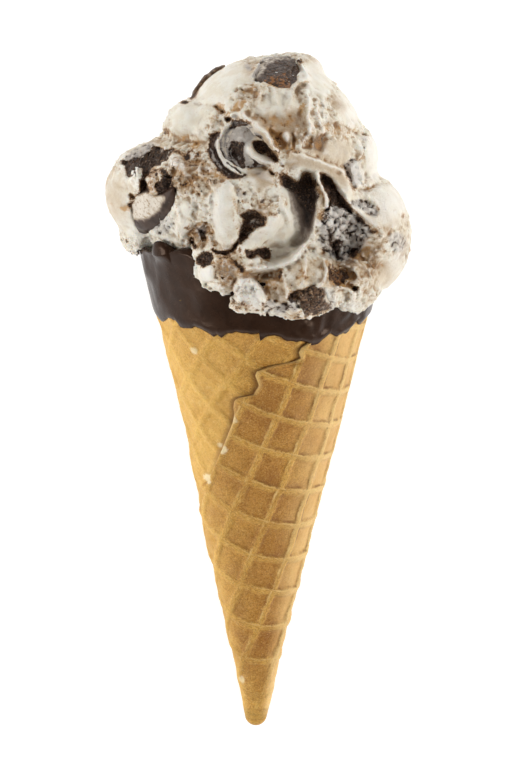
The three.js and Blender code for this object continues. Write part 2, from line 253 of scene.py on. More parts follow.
def on_cone(h, phi, off):
    h = h - DH
    r = h * TA + off / CA
    return (APEX[None] + h[..., None] * AX + (r * np.sin(phi))[..., None] * E1 + (r * np.cos(phi))[..., None] * E2)


def cone_coords(x, y, z):
    """Height along the axis, angle from the top, distance off the nominal surface."""
    qx, qy, qz = x - APEX[0], y - APEX[1], z - APEX[2]
    h = qx * AX[0] + qy * AX[1] + qz * AX[2]
    a = qx * E1[0] + qy * E1[1] + qz * E1[2]
    b = qx * E2[0] + qy * E2[1] + qz * E2[2]
    return h + DH, np.arctan2(a, b), (np.hypot(a, b) - h * TA) * CA


def wrap(a):
    return np.arctan2(np.sin(a), np.cos(a))


def rim_height(phi):
    d = wrap(phi + rad(48))
    step = np.interp(np.degrees(wrap(phi)), [-180, -75, -62, -58, -52, -46, -44, -40, -35, -32, -29.6, -27, -24, 180],
                     [0, 0.2, 0.2, 0.7, 1.1, 1.8, 2.2, 3.1, 3.6, 3.1, 1.7, 0.2, 0, 0])
    line = 162 + 9 * np.cos(phi + rad(55)) + 1.0 * np.exp(-((d / rad(22)) ** 2)) + step
    far = sstep(rad(100), rad(124), wrap(phi)) + sstep(rad(-106), rad(-124), wrap(phi))
    return line * (1 - far) + np.maximum(line, 168.6) * far


# ================================================================ ICE CREAM ===
LOBES = [
    [0.8, 69.8, 47, 29.7, 30.7, 37, 0], [-3.5, 55.5, 42.5, 46, 22, 43.5, -9], [31.6, 46, 45, 13, 18, 27, 0],
    [-36, 58.2, 44, 13.2, 13, 24, 10], [-22, 78.5, 56, 9.5, 8.6, 14, 20], [25.5, 69, 46, 9.0, 11.5, 20, 0],
    [8.2, 95.6, 50, 9.4, 5.9, 14, 0], [-10, 37, 66, 14, 12, 17, -15], [10, 30, 68, 14, 11, 14, 5],
    [24, 32, 56, 12, 11, 18, 15], [-20, 45, 28, 15, 12, 18, 0], [14, 38, 22, 22, 14, 16, 0],
    [-2, 62, 22, 30, 24, 24.5, 0], [-24, 45.5, 57, 9.5, 7.5, 13, -8], [-38.5, 46, 42, 6.5, 6.5, 12, 0],
    [-7.8, 23.5, 74, 3.0, 2.4, 3.2, 0], [-4.8, 24.8, 74.5, 5.0, 3.2, 4.0, 0], [0, 24.2, 74.5, 5.5, 2.8, 4.0, 0], [4.5, 24.4, 74, 5.0, 2.8, 4.0, 0],
]


def ellipsoid(x, y, z, c, r, turn=0.0):
    cs, sn = math.cos(rad(turn)), math.sin(rad(turn))
    dx, dy, dz = x - c[0], y - c[1], z - c[2]
    X, Y, Z = (dx * cs + dy * sn) / r[0], (-dx * sn + dy * cs) / r[1], dz / r[2]
    k0 = np.sqrt(X * X + Y * Y + Z * Z)
    k1 = np.sqrt((X / r[0]) ** 2 + (Y / r[1]) ** 2 + (Z / r[2]) ** 2) + 1e-9
    return k0 * (k0 - 1) / k1


def lobes_field(x, y, z, join=2.4):
    d = None
    for l in LOBES:
        e = ellipsoid(x, y, z, l[:3], l[3:6], l[6])
        d = e if d is None else smin(d, e, join)
    return d




def make_object(name, pts, faces, attrs=None, smooth=True):
    """pts in millimetres in the working frame; faces is an (n, 3) or (n, 4) array."""
    me = bpy.data.meshes.new(name)
    co = ((np.asarray(pts) + SHIFT) * 0.001).astype(F)
    faces = np.asarray(faces, np.int32)
    k = faces.shape[1]
    me.vertices.add(len(co))
    me.vertices.foreach_set("co", co.ravel())
    me.loops.add(faces.size)
    me.loops.foreach_set("vertex_index", faces.ravel())
    me.polygons.add(len(faces))
    me.polygons.foreach_set("loop_start", np.arange(0, faces.size, k, dtype=np.int32))
    me.polygons.foreach_set("loop_total", np.full(len(faces), k, np.int32))
    me.update(calc_edges=True)
    me.validate()
    if attrs:
        for key, v in attrs.items():
            at = me.attributes.new(key, "FLOAT", "POINT")
            at.data.foreach_set("value", np.asarray(v, F))
    if smooth:
        me.polygons.foreach_set("use_smooth", np.ones(len(me.polygons), bool))
    ob = bpy.data.objects.new(name, me)
    bpy.context.scene.collection.objects.link(ob)
    return ob


def decimate_to(ob, tris, loosen=None):
    """Fewer triangles; loosen is 1 where they go first, and elsewhere short edges go before long ones."""
    me = ob.data
    now = sum(len(p.vertices) - 2 for p in me.polygons) if len(me.polygons) < 1000 else None
    if now is None:
        tot = np.zeros(len(me.polygons), np.int32)
        me.polygons.foreach_get("loop_total", tot)
        now = int((tot - 2).sum())
    if now <= tris:
        return
    mod = ob.modifiers.new("dec", "DECIMATE")
    mod.ratio = tris / now
    mod.use_collapse_triangulate = True
    if loosen is not None:
        vg = ob.vertex_groups.new(name="loosen")
        lv = 0.5 + np.round(np.clip(loosen, 0, 1) * 4) / 8
        for w in np.unique(lv):
            vg.add(np.nonzero(lv == w)[0].tolist(), float(w), "REPLACE")
        mod.vertex_group = "loosen"
        mod.vertex_group_factor = 2e-5
    dg = bpy.context.evaluated_depsgraph_get()
    new = bpy.data.meshes.new_from_object(ob.evaluated_get(dg), depsgraph=dg)
    ob.modifiers.clear()
    ob.vertex_groups.clear()
    old = ob.data
    new.name = old.name
    ob.data = new
    bpy.data.meshes.remove(old)
    ob.data.polygons.foreach_set("use_smooth", np.ones(len(ob.data.polygons), bool))


def get_co(ob):
    co = np.empty(len(ob.data.vertices) * 3, F)
    ob.data.vertices.foreach_get("co", co)
    return co.reshape(-1, 3).astype(np.float64) * 1000.0 - SHIFT


def get_normals(ob):
    no = np.empty(len(ob.data.vertices) * 3, F)
    ob.data.vertex_normals.foreach_get("vector", no)
    return no.reshape(-1, 3)


def set_attr(ob, key, v):
    me = ob.data
    if key in me.attributes:
        me.attributes.remove(me.attributes[key])
    at = me.attributes.new(key, "FLOAT", "POINT")
    at.data.foreach_set("value", np.asarray(v, F))



# ---- the shown side: strokes laid out in the view's own plane ----------------
RX0, RY0, RSTEP = 90.0, 36.0, 0.5
RNX, RNY = 680, 620
GX, GY = [a.astype(F) for a in np.meshgrid(RX0 + np.arange(RNX) * RSTEP, RY0 + np.arange(RNY) * RSTEP)]
GO = GX * 0
WX = GX + 1.6 * vnoise(GX / 13, GY / 13, GO, 301) + 0.7 * vnoise(GX / 5, GY / 5, GO, 302)
WY = GY + 1.6 * vnoise(GX / 13, GY / 13, GO + 7, 303) + 0.7 * vnoise(GX / 5, GY / 5, GO + 7, 304)
VX = WX + 1.5 * vnoise(GX / 3.4, GY / 3.4, GO, 305) + 0.7 * vnoise(GX / 1.5, GY / 1.5, GO, 307)
VY = WY + 1.5 * vnoise(GX / 3.4, GY / 3.4, GO + 7, 306) + 0.7 * vnoise(GX / 1.5, GY / 1.5, GO + 7, 308)


def window(pts, m):
    p = np.asarray(pts, float)
    x0 = max(0, int((p[:, 0].min() - m - RX0) / RSTEP))
    x1 = min(RNX, int((p[:, 0].max() + m - RX0) / RSTEP) + 2)
    y0 = max(0, int((p[:, 1].min() - m - RY0) / RSTEP))
    y1 = min(RNY, int((p[:, 1].max() + m - RY0) / RSTEP) + 2)
    return slice(y0, y1), slice(x0, x1)


def smooth_line(pts, n=5):
    """A rounder line through the given points (Catmull-Rom)."""
    p = np.asarray(pts, float)
    if len(p) < 3:
        return p
    q = np.vstack([2 * p[0] - p[1], p, 2 * p[-1] - p[-2]])
    out = []
    for i in range(1, len(q) - 2):
        for t in np.arange(0, 1, 1.0 / n):
            a, b, c, d = q[i - 1], q[i], q[i + 1], q[i + 2]
            out.append(0.5 * ((2 * b) + (c - a) * t + (2 * a - 5 * b + 4 * c - d) * t * t + (3 * b - a - 3 * c + d) * t ** 3))
    out.append(q[-2])
    return np.array(out)


def warped(win, rag):
    ys, xs = win
    if rag == 2:
        return VX[ys, xs], VY[ys, xs]
    if rag == 1:
        return WX[ys, xs], WY[ys, xs]
    return GX[ys, xs], GY[ys, xs]


def line_dist(pts, m, closed=False, rag=1):
    """Distance to a line, place along it and side of it, in the window round it."""
    p = np.asarray(pts, float)
    if closed:
        p = np.vstack([p, p[:1]])
    win = window(p, m + 5)
    x, y = warped(win, rag)
    best = np.full(x.shape, 1e9, F)
    along = np.zeros(x.shape, F)
    side = np.zeros(x.shape, F)
    seg = np.hypot(*(p[1:] - p[:-1]).T)
    run = np.concatenate([[0], np.cumsum(seg)])
    for i in range(len(p) - 1):
        ax, ay = p[i]
        dx, dy = p[i + 1] - p[i]
        l2 = dx * dx + dy * dy + 1e-9
        t = np.clip(((x - ax) * dx + (y - ay) * dy) / l2, 0, 1)
        ex, ey = x - ax - t * dx, y - ay - t * dy
        d = ex * ex + ey * ey
        c = d < best
        best = np.where(c, d, best)
        along = np.where(c, run[i] + t * seg[i], along)
        side = np.where(c, np.sign(dx * ey - dy * ex), side)
    return win, np.sqrt(best), along / max(run[-1], 1e-6), side, run[-1]


def inside_mask(pts, win, rag=1):
    x, y = warped(win, rag)
    p = np.asarray(pts, float)
    c = np.zeros(x.shape, bool)
    j = len(p) - 1
    for i in range(len(p)):
        xi, yi = p[i]
        xj, yj = p[j]
        c ^= ((yi > y) != (yj > y)) & (x < (xj - xi) * (y - yi) / (yj - yi + 1e-12) + xi)
        j = i
    return c


class Map:
    def __init__(self, base=0.0, rag=1):
        self.a = np.full((RNY, RNX), base, F)
        self.rag = rag

    def ridge(self, pts, w, h, sharp=1.5, taper=0.2, curve=True, comb=0.0):
        """A raised crest along a line (or a groove, with h below 0)."""
        line = smooth_line(pts) if curve else np.asarray(pts, float)
        win, d, t, side, run = line_dist(line, w, rag=self.rag)
        f = np.clip(1 - d / w, 0, 1)
        f = f * f * (3 - 2 * f) if sharp == 0 else f ** sharp
        if taper > 0:
            f = f * np.clip(t / taper, 0, 1) ** 0.5 * np.clip((1 - t) / taper, 0, 1) ** 0.5
        self.a[win] += (h * f).astype(F)
        return self

    def fold(self, pts, h, wr, wl, taper=0.12, power=1.6, comb=0.1):
        """A crest that falls away wr px on its right hand and wl px on its left (seen walking along it)."""
        line = smooth_line(pts)
        win, d, t, side, run = line_dist(line, max(wr, wl), rag=self.rag)
        w = np.where(side > 0, wr, wl)
        f = np.clip(1 - d / w, 0, 1) ** power
        e = np.clip(t / taper, 0, 1) * np.clip((1 - t) / taper, 0, 1) if taper > 0 else np.ones(d.shape, F)
        e = e ** 0.6
        c = comb * vnoise(d * side / 1.7, t * run / 22, d * 0, int(run * 7) % 997) * (d < w)
        self.a[win] += (e * (h * f + c * np.clip(1 - d / w, 0, 1) ** 0.5)).astype(F)
        return self

    def roll(self, pts, w, h, taper=0.2, comb=0.08, power=0.5):
        """A rounded roll lying on the surface, with sharp creases along both sides."""
        line = smooth_line(pts)
        win, d, t, side, run = line_dist(line, w, rag=self.rag)
        e = np.clip(t / taper, 0, 1) * np.clip((1 - t) / taper, 0, 1) if taper > 0 else np.ones(d.shape, F)
        ww = w * np.sqrt(np.clip(e, 0.02, 1))
        f = np.clip(1 - (d / ww) ** 2, 0, 1) ** power
        c = comb * vnoise(d * side / 1.9, t * run / 24, d * 0, int(run * 5) % 991) * (d < ww)
        self.a[win] += ((h * f + c) * np.clip(e * 1.5, 0, 1)).astype(F)
        return self

    def patch(self, pts, h, soft=2.0, curve=True):
        """An area raised or sunk by h, its edge soft px wide."""
        line = smooth_line(np.vstack([pts, pts[:1]]), 4)[:-1] if curve else np.asarray(pts, float)
        win, d, _, _, _ = line_dist(line, soft + 1, closed=True, rag=self.rag)
        ins = inside_mask(line, win, self.rag)
        sd = np.where(ins, d, -d)
        self.a[win] += (h * sstep(-soft, soft, sd)).astype(F)
        return self

    def dome(self, c, r, h, turn=0.0, power=0.5):
        """A rounded bump (or bowl, with h below 0)."""
        m = max(r)
        win = window([[c[0] - m, c[1] - m], [c[0] + m, c[1] + m]], 4)
        x, y = warped(win, self.rag)
        x, y = x - c[0], y - c[1]
        cs, sn = math.cos(rad(turn)), math.sin(rad(turn))
        q = ((x * cs + y * sn) / r[0]) ** 2 + ((-x * sn + y * cs) / r[1]) ** 2
        self.a[win] += (h * np.clip(1 - q, 0, 1) ** power).astype(F)
        return self

    def spot(self, c, r, h, turn=0.0):
        """A soft spot, for masks."""
        return self.dome(c, (r[0] * 1.25, r[1] * 1.25), h * 1.1, turn, 1.3)

    def spots(self, pts, r, h):
        for c in pts:
            self.spot(c, (r, r), h)
        return self

    def sample(self, px, py):
        fx = np.clip((px - RX0) / RSTEP, 0, RNX - 1.001)
        fy = np.clip((py - RY0) / RSTEP, 0, RNY - 1.001)
        i, j = fx.astype(np.int32), fy.astype(np.int32)
        u, v = (fx - i).astype(F), (fy - j).astype(F)
        a = self.a
        return (a[j, i] * (1 - u) + a[j, i + 1] * u) * (1 - v) + (a[j + 1, i] * (1 - u) + a[j + 1, i + 1] * u) * v


R = Map(0.0, 1)        # relief, mm towards the viewer
A = Map(0.31, 1)       # roughness, mm
DK = Map(0.0, 2)       # dark cookie
TP = Map(0.10, 2)      # taupe, where cookie has coloured the cream
GR = Map(0.0, 1)       # grey, where cream lies thinly over cookie
OB = Map(0.0, 2)       # golden brown stain
WHITE_AND_HIGHLIGHT = Map(0.0, 1)       # clean white cream, and painted highlights along crests and lips
SP = Map(0.10, 1)      # specks
HOLLOW_SHADE = Map(0.0, 1)         # painted shade in the hollow, over its cookie film

# ============================================================ upper left lobes
R.dome((228, 88), (40, 30), 1.8, -32)
R.dome((192, 122), (27, 23), 2.6, -15)
R.ridge([(188, 100), (200, 104), (212, 108), (224, 114)], 5, -1.6, 1.2)
R.ridge([(166, 131), (180, 138), (198, 142), (212, 140)], 7, -2.2, 1.2)
R.ridge([(213, 106), (219, 109), (225, 114)], 3.2, -1.5, 1.1)
R.ridge([(199, 118), (200, 128), (206, 134)], 3, -0.5, 1.2)
A.spot((222, 84), (34, 22), -0.26, -32)
A.spot((188, 120), (20, 17), -0.22)
OB.patch([(236, 102), (246, 100), (243, 106), (240, 112), (236, 113), (234, 108)], 1.0, 1.2)
OB.patch([(210, 107), (218, 103), (228, 106), (236, 112), (232, 118), (222, 117), (214, 112)], 0.55, 2.5)
DK.ridge([(213, 106), (218, 108), (222, 112), (225, 115)], 1.9, 0.85, 1.0)
DK.spot((228, 120), (2.8, 2.6), 1.2)
R.dome((228, 120), (3.4, 3.2), -1.6)
OB.spots([(200, 104), (222, 96), (229, 96), (196, 126), (202, 122), (205, 129), (243, 90), (252, 88)], 3.0, 0.45)
TP.patch([(240, 86), (254, 84), (262, 90), (258, 98), (248, 100), (238, 104), (232, 100)], 0.5, 3)
R.ridge([(236, 92), (246, 90), (257, 93)], 3, -0.8, 1.2)
R.ridge([(232, 100), (245, 98), (258, 98)], 3, -0.7, 1.2)
A.spot((246, 96), (18, 10), 0.35)
OB.ridge([(236, 93), (246, 91), (256, 95)], 1.8, 0.7)
OB.ridge([(240, 102), (249, 99), (257, 98)], 1.8, 0.7)
OB.spot((183, 138), (6, 4), 0.75)
OB.spot((197, 143), (6, 5), 0.8)
OB.spot((168, 134), (3, 6), 0.5)
DK.spot((166, 131), (3, 4), 0.65)
DK.spot((183, 103), (5, 2.2), 1.3, -10)
TP.patch([(164, 132), (176, 142), (190, 152), (206, 152), (212, 158), (214, 140), (200, 134), (180, 134)], 0.35, 5)
DK.ridge([(190, 100), (196, 89), (203, 80), (210, 73), (216, 69), (223, 65)], 3.4, 1.4, 0.8)
R.ridge([(190, 100), (196, 89), (203, 80), (210, 73), (216, 69), (223, 65)], 3.4, -1.0, 1.0)

# ============================================================ top chunk and its bed
R.patch([(252, 82), (256, 72), (263, 61), (284, 57), (298, 61), (301, 72), (297, 82), (289, 88), (278, 88), (266, 84)], -2.2, 2.5)
R.fold([(249, 79), (254, 70), (260, 62), (268, 57)], 1.3, 5, 7)
R.fold([(296, 62), (301, 65), (305, 71), (307, 79), (301, 81), (297, 85), (290, 88)], 2.9, 3.6, 5.5)
R.fold([(299, 81), (305, 81), (310, 86), (318, 91), (328, 96)], 1.6, 6, 3, 0.1)
R.dome((315, 70), (20, 19), 1.7, 20)
WHITE_AND_HIGHLIGHT.ridge([(299, 65), (303, 68), (306, 74), (307, 80)], 3.0, 1.0)
WHITE_AND_HIGHLIGHT.ridge([(300, 81), (306, 82), (312, 87), (320, 92)], 2.5, 0.7)
DK.ridge([(305, 81), (309, 84)], 1.4, 0.9)
DK.spot((302, 62), (3, 2.5), 0.9)
DK.ridge([(299, 60), (302, 65), (306, 70), (309, 80)], 1.0, 0.45)
DK.ridge([(251, 83), (249, 85)], 2.0, 0.9)
DK.ridge([(254, 66), (251, 71)], 1.8, 0.8)
TP.patch([(244, 60), (256, 60), (258, 68), (252, 80), (246, 74)], 0.6, 2.5)
GR.spot((249, 66), (5, 5), 0.7)
GR.ridge([(251, 78), (256, 70), (262, 62), (268, 58)], 3.5, 0.7)
TP.ridge([(284, 58), (292, 53), (302, 55), (316, 59)], 2.0, 0.5)
TP.spot((312, 62), (9, 4), 0.45, 15)
WHITE_AND_HIGHLIGHT.spot((314, 72), (12, 12), 0.4)
A.spot((318, 78), (17, 20), -0.26, -30)

# ============================================================ face under the top chunk
for xs, hh, ww in (([(260, 88), (259, 98), (262, 110)], 1.0, 4), ([(270, 88), (269, 98), (270, 108)], -0.7, 4),
                   ([(275, 90), (274, 96), (276, 104)], 1.0, 3.5), ([(284, 92), (283, 100), (285, 110)], -0.6, 4),
                   ([(290, 90), (291, 100), (290, 112)], 0.9, 5), ([(298, 86), (299, 94), (297, 104)], -0.9, 5)):
    R.ridge(xs, ww, hh, 1.4)
R.patch([(252, 116), (264, 117), (275, 112), (286, 116), (298, 110), (304, 118), (300, 134), (292, 150), (282, 148), (272, 132), (262, 124)], -1.7, 8)
TP.patch([(252, 114), (260, 119), (269, 113), (278, 118), (288, 110), (297, 112), (304, 103), (308, 116), (302, 134), (294, 150), (284, 152), (272, 134), (260, 126)], 0.85, 8)
OB.patch([(256, 116), (280, 112), (296, 112), (296, 122), (284, 132), (270, 126)], 0.35, 4)
DK.ridge([(252, 119), (258, 120), (263, 122), (268, 123)], 2.6, 0.62, 1.0)
DK.spots([(283, 119), (289, 118), (286, 124), (292, 121), (281, 126), (280, 133), (277, 138), (290, 130)], 2.2, 0.55)
OB.patch([(296, 110), (300, 104), (309, 101), (309, 106), (303, 109), (300, 113)], 1.1, 1.2)
DK.spot((299, 109), (3, 2), 0.45)
GR.spot((302, 94), (5, 8), 0.45)
TP.spot((302, 95), (5, 9), 0.7)
OB.spots([(269, 92), (291, 94), (262, 104)], 2.2, 0.5)
A.spot((280, 122), (30, 22), -0.16)
A.spot((276, 100), (26, 14), -0.10)
R.dome((285, 136), (4.5, 5), 1.3)
WHITE_AND_HIGHLIGHT.spot((285, 136), (3.2, 3.6), 1.2)
DK.spot((297, 128), (2.5, 1.6), 0.7)
R.ridge([(297, 127), (293, 138), (290, 150)], 3, 0.8, 1.0)
R.dome((294, 141), (2.6, 8), -1.8, -14)
OB.patch([(291, 148), (292, 141), (296, 133), (298, 134), (297, 142), (295, 149)], 0.9, 1.5)
DK.patch([(292, 147), (293, 141), (296, 135), (296, 142), (294, 148)], 0.22, 1.0)
SP.spot((284, 128), (16, 14), 0.55)

# ============================================================ upper right, thin crests
R.fold([(307, 86), (309, 96), (310, 108), (309, 117), (311, 125), (310, 132), (306, 140), (304, 148)], 2.0, 9, 4, 0.1)
WHITE_AND_HIGHLIGHT.ridge([(307, 88), (309, 97), (310, 108), (309, 117), (311, 125), (310, 132), (306, 139), (304, 147)], 2.2, 1.2)
R.fold([(316, 100), (319, 112), (321, 124), (323, 134)], 1.5, 7, 5, 0.2)
WHITE_AND_HIGHLIGHT.ridge([(318, 104), (320, 116), (322, 128), (323, 134)], 2.2, 0.8)
R.fold([(331, 108), (336, 118), (342, 126), (348, 130)], 0.9, 6, 6, 0.2)
# two pits, their brown and dark colour partly painted shade
R.patch([(303, 135), (310, 132), (313, 142), (309, 149), (303, 147)], -1.9, 2)
R.patch([(315, 138), (324, 132), (327, 142), (322, 150), (315, 148)], -1.7, 2.5)
TP.patch([(303, 136), (312, 132), (326, 134), (326, 146), (320, 151), (308, 149), (303, 147)], 1.0, 2)
DK.spot((309, 142), (4, 5), 0.36, 20)
DK.spot((319, 144), (6, 4.5), 0.34, -40)
OB.spot((310, 145), (6, 4), 0.6)
OB.patch([(323, 119), (329, 117), (331, 128), (326, 131), (322, 128)], 0.5, 2)
TP.patch([(326, 97), (334, 95), (340, 99), (346, 107), (345, 112), (338, 108), (330, 106), (326, 102)], 0.75, 2)
TP.patch([(329, 118), (338, 120), (348, 130), (344, 134), (332, 130)], 0.5, 3)
OB.spots([(338, 112), (340, 130), (347, 134), (333, 134), (345, 139)], 2.6, 0.6)
OB.ridge([(347, 128), (353, 131), (359, 134)], 2.4, 1.0)
R.ridge([(340, 122), (350, 131), (360, 134), (369, 138)], 4, -1.7, 1.1)
R.dome((350, 110), (16, 20), 1.0, -35)
A.spot((350, 106), (18, 20), -0.22, -35)
WHITE_AND_HIGHLIGHT.spot((352, 110), (12, 18), 0.5, -30)
GR.spot((364, 140), (4, 2.4), 1.0)
DK.spot((364, 140), (3, 1.6), 0.45)
R.patch([(316, 136), (332, 132), (346, 134), (360, 139), (366, 148), (352, 152), (334, 150), (320, 148)], -0.6, 4)
TP.patch([(306, 150), (322, 138), (342, 138), (354, 146), (352, 158), (340, 168), (322, 158)], 0.42, 6)
GR.patch([(316, 146), (340, 142), (352, 148), (346, 160), (326, 156)], 0.35, 6)
A.patch([(306, 150), (322, 142), (342, 142), (352, 150), (342, 164), (322, 156)], -0.18, 4)
TP.patch([(353, 152), (360, 150), (361, 156), (355, 160)], 0.9, 1.5)
GR.spot((356, 153), (4, 3), 0.5)
R.ridge([(318, 134), (326, 150), (336, 160)], 4, 0.7, 1.2)

# ============================================================ centre curl
R.patch([(233, 123), (222, 129), (215, 141), (213, 155), (220, 167), (231, 176), (246, 178), (262, 172), (276, 162), (272, 146),
         (258, 132), (246, 124)], -2.4, 2.0)
R.fold([(240, 112), (246, 115), (252, 123), (260, 127), (266, 131), (270, 139), (274, 146), (279, 149)], 3.4, 9, 2.6, 0.1)
WHITE_AND_HIGHLIGHT.ridge([(240, 112), (246, 115), (252, 123), (260, 127), (266, 131), (270, 139), (274, 146), (279, 149)], 3.4, 1.4)
R.fold([(228, 119), (236, 114), (244, 113)], 1.5, 6, 3, 0.2)
WHITE_AND_HIGHLIGHT.ridge([(226, 122), (234, 117), (243, 115)], 4, 0.9)
R.patch([(270, 128), (278, 134), (284, 142), (283, 150), (277, 147), (273, 141), (269, 134)], -2.6, 2)
DK.patch([(268, 130), (273, 132), (279, 138), (282, 144), (280, 148), (275, 144), (271, 138)], 0.34, 2.5)
OB.patch([(268, 127), (278, 132), (286, 142), (284, 150), (277, 147), (272, 138)], 0.9, 2)
R.fold([(229, 126), (222, 130), (219, 139), (218, 148), (220, 158), (226, 165), (233, 171), (241, 177)], 2.8, 3.0, 5, 0.08)
WHITE_AND_HIGHLIGHT.ridge([(229, 126), (222, 131), (219, 139), (218, 149), (221, 159), (227, 165), (234, 171), (241, 176)], 2.6, 1.5)
R.fold([(221, 156), (229, 162), (238, 168), (246, 172)], 1.6, 3, 5, 0.15)
WHITE_AND_HIGHLIGHT.ridge([(224, 156), (231, 163), (240, 169)], 3.6, 0.8)
TP.ridge([(225, 152), (231, 160), (239, 167)], 2.0, 0.8)
R.fold([(246, 146), (250, 152), (256, 158), (263, 162), (270, 163), (279, 165)], 2.9, 4, 4, 0.08)
WHITE_AND_HIGHLIGHT.ridge([(244, 144), (249, 151), (255, 157), (262, 161), (270, 163), (279, 165)], 4.0, 1.3)
R.patch([(252, 143), (262, 143), (272, 150), (278, 158), (277, 163), (270, 158), (262, 156), (256, 151)], -2.8, 1.8)
DK.patch([(250, 143), (257, 141), (264, 144), (271, 150), (277, 155), (279, 163), (274, 163), (271, 157), (264, 155), (259, 154), (254, 148)], 0.78, 1.6)
TP.patch([(246, 130), (256, 131), (266, 136), (272, 146), (266, 148), (258, 141), (248, 138)], 0.65, 2.5)
GR.patch([(224, 130), (236, 127), (250, 128), (258, 134), (250, 142), (248, 152), (254, 162), (246, 166), (236, 164), (226, 156), (221, 144)], 1.0, 2.5)
DK.patch([(229, 146), (233, 142), (238, 143), (242, 148), (245, 156), (244, 164), (239, 166), (234, 162), (230, 155)], 1.1, 2.5)
DK.patch([(222, 144), (224, 137), (228, 133), (229, 138), (226, 144), (223, 147)], 0.72, 1.8)
DK.ridge([(241, 138), (244, 133), (247, 131)], 1.8, 1.0)
DK.ridge([(229, 128), (232, 133), (229, 137)], 2.2, 0.55)
DK.ridge([(241, 141), (240, 147)], 2.4, 0.6)
R.dome((236, 154), (9, 9), -1.5, 40)
R.ridge([(244, 130), (241, 140), (242, 150), (248, 160)], 5, 1.0, 1.2)
A.spot((240, 148), (24, 24), -0.24)
SP.spot((240, 148), (24, 24), -0.1)
R.ridge([(245, 166), (254, 165), (262, 166), (267, 170), (272, 175), (277, 178)], 3.2, -2.0, 0.9)
DK.ridge([(246, 166), (254, 165), (262, 166), (267, 169), (272, 175), (276, 178)], 1.5, 0.95, 1.0, 0.1)
TP.patch([(247, 168), (258, 167), (266, 172), (274, 180), (268, 186), (258, 180), (250, 176)], 0.85, 2)
GR.patch([(247, 168), (258, 167), (266, 172), (272, 180), (262, 180)], 0.5, 2)
A.spot((260, 178), (14, 10), -0.26, 30)
TP.spot((262, 186), (9, 4), 0.3)
R.fold([(250, 186), (258, 195), (262, 203)], 0.9, 4, 4)
DK.ridge([(253, 187), (258, 193), (262, 199)], 1.0, 0.5)
SP.spot((276, 152), (6, 8), 0.6)
# cookie rim of the curl
R.ridge([(221, 128), (215, 138), (213, 150), (215, 161), (222, 169), (231, 177), (241, 178)], 2.6, -1.6, 1.0, 0.1)
DK.ridge([(219, 130), (214, 138), (213, 149), (214, 159), (219, 166), (226, 173), (232, 177), (241, 177)], 4.2, 1.5, 0.9, 0.1)
DK.ridge([(229, 127), (236, 123), (244, 123), (252, 125)], 2.6, 1.25, 0.8, 0.15)

# ============================================================ fold over the hollow, right smear
R.fold([(289, 151), (297, 154), (308, 157), (320, 160), (332, 165), (342, 170), (348, 177), (351, 187), (356, 192)], 3.2, 13, 2.6, 0.1, 1.2, 0.16)
WHITE_AND_HIGHLIGHT.ridge([(308, 157), (322, 161), (334, 166), (343, 170), (348, 176), (351, 187)], 1.8, 1.3)
TP.ridge([(284, 156), (298, 160), (314, 164), (330, 170), (342, 178), (348, 188)], 8, 0.75, 0.8)
R.roll([(286, 160), (300, 165), (316, 169), (330, 176), (340, 186)], 6, 1.0, 0.15, 0.16)
WHITE_AND_HIGHLIGHT.ridge([(314, 170), (324, 174), (332, 180), (338, 187)], 2.0, 1.1)
DK.ridge([(290, 151), (296, 153), (302, 155)], 1.2, 0.9)
DK.spot((294, 152), (4, 2), 0.5, 15)
A.ridge([(286, 160), (312, 166), (334, 174), (348, 188)], 10, -0.28, 0.7)
OB.spots([(322, 163), (317, 161), (300, 163)], 1.8, 0.6)
GR.spot((296, 168), (8, 4), 0.5, -10)
TP.spot((292, 166), (9, 6), 0.6)
# the bluish film chunk
R.patch([(344, 164), (350, 160), (358, 160), (366, 168), (367, 182), (359, 188), (352, 184), (348, 174)], -1.0, 2)
R.ridge([(342, 163), (346, 168), (349, 176), (351, 184), (356, 189)], 2.8, -2.2, 0.9)
R.dome((357, 174), (8, 13), 1.3, -12)
GR.patch([(344, 163), (350, 160), (357, 162), (362, 170), (362, 182), (357, 187), (352, 184), (348, 174)], 0.9, 2)
WHITE_AND_HIGHLIGHT.patch([(352, 163), (360, 164), (365, 174), (362, 186), (356, 184), (354, 174)], 0.8, 2)
DK.ridge([(343, 165), (347, 170), (350, 178), (352, 185), (357, 188)], 1.7, 1.2, 1.0, 0.1)
DK.ridge([(346, 166), (349, 161), (352, 163)], 2.2, 0.9)
for k in range(3):
    R.ridge([(353 + 4 * k, 164), (355 + 4 * k, 174), (357 + 3 * k, 184)], 2.0, 0.5 - 1.0 * (k % 2), 1.0)
    GR.ridge([(355 + 4 * k, 165), (356 + 4 * k, 174), (358 + 3 * k, 184)], 1.4, 0.5)
R.roll([(368, 128), (375, 145), (379, 162), (378, 176)], 12, 1.6, 0.2, 0.05)
R.ridge([(356, 190), (366, 190), (375, 186), (385, 180)], 3.6, -2.4, 0.9)
OB.ridge([(362, 190), (370, 188), (378, 184), (386, 180)], 2.4, 1.0)
A.spot((374, 158), (10, 26), -0.26)
WHITE_AND_HIGHLIGHT.spot((374, 158), (8, 24), 0.9)
WHITE_AND_HIGHLIGHT.ridge([(359, 192), (372, 191), (385, 184)], 3, 0.8)

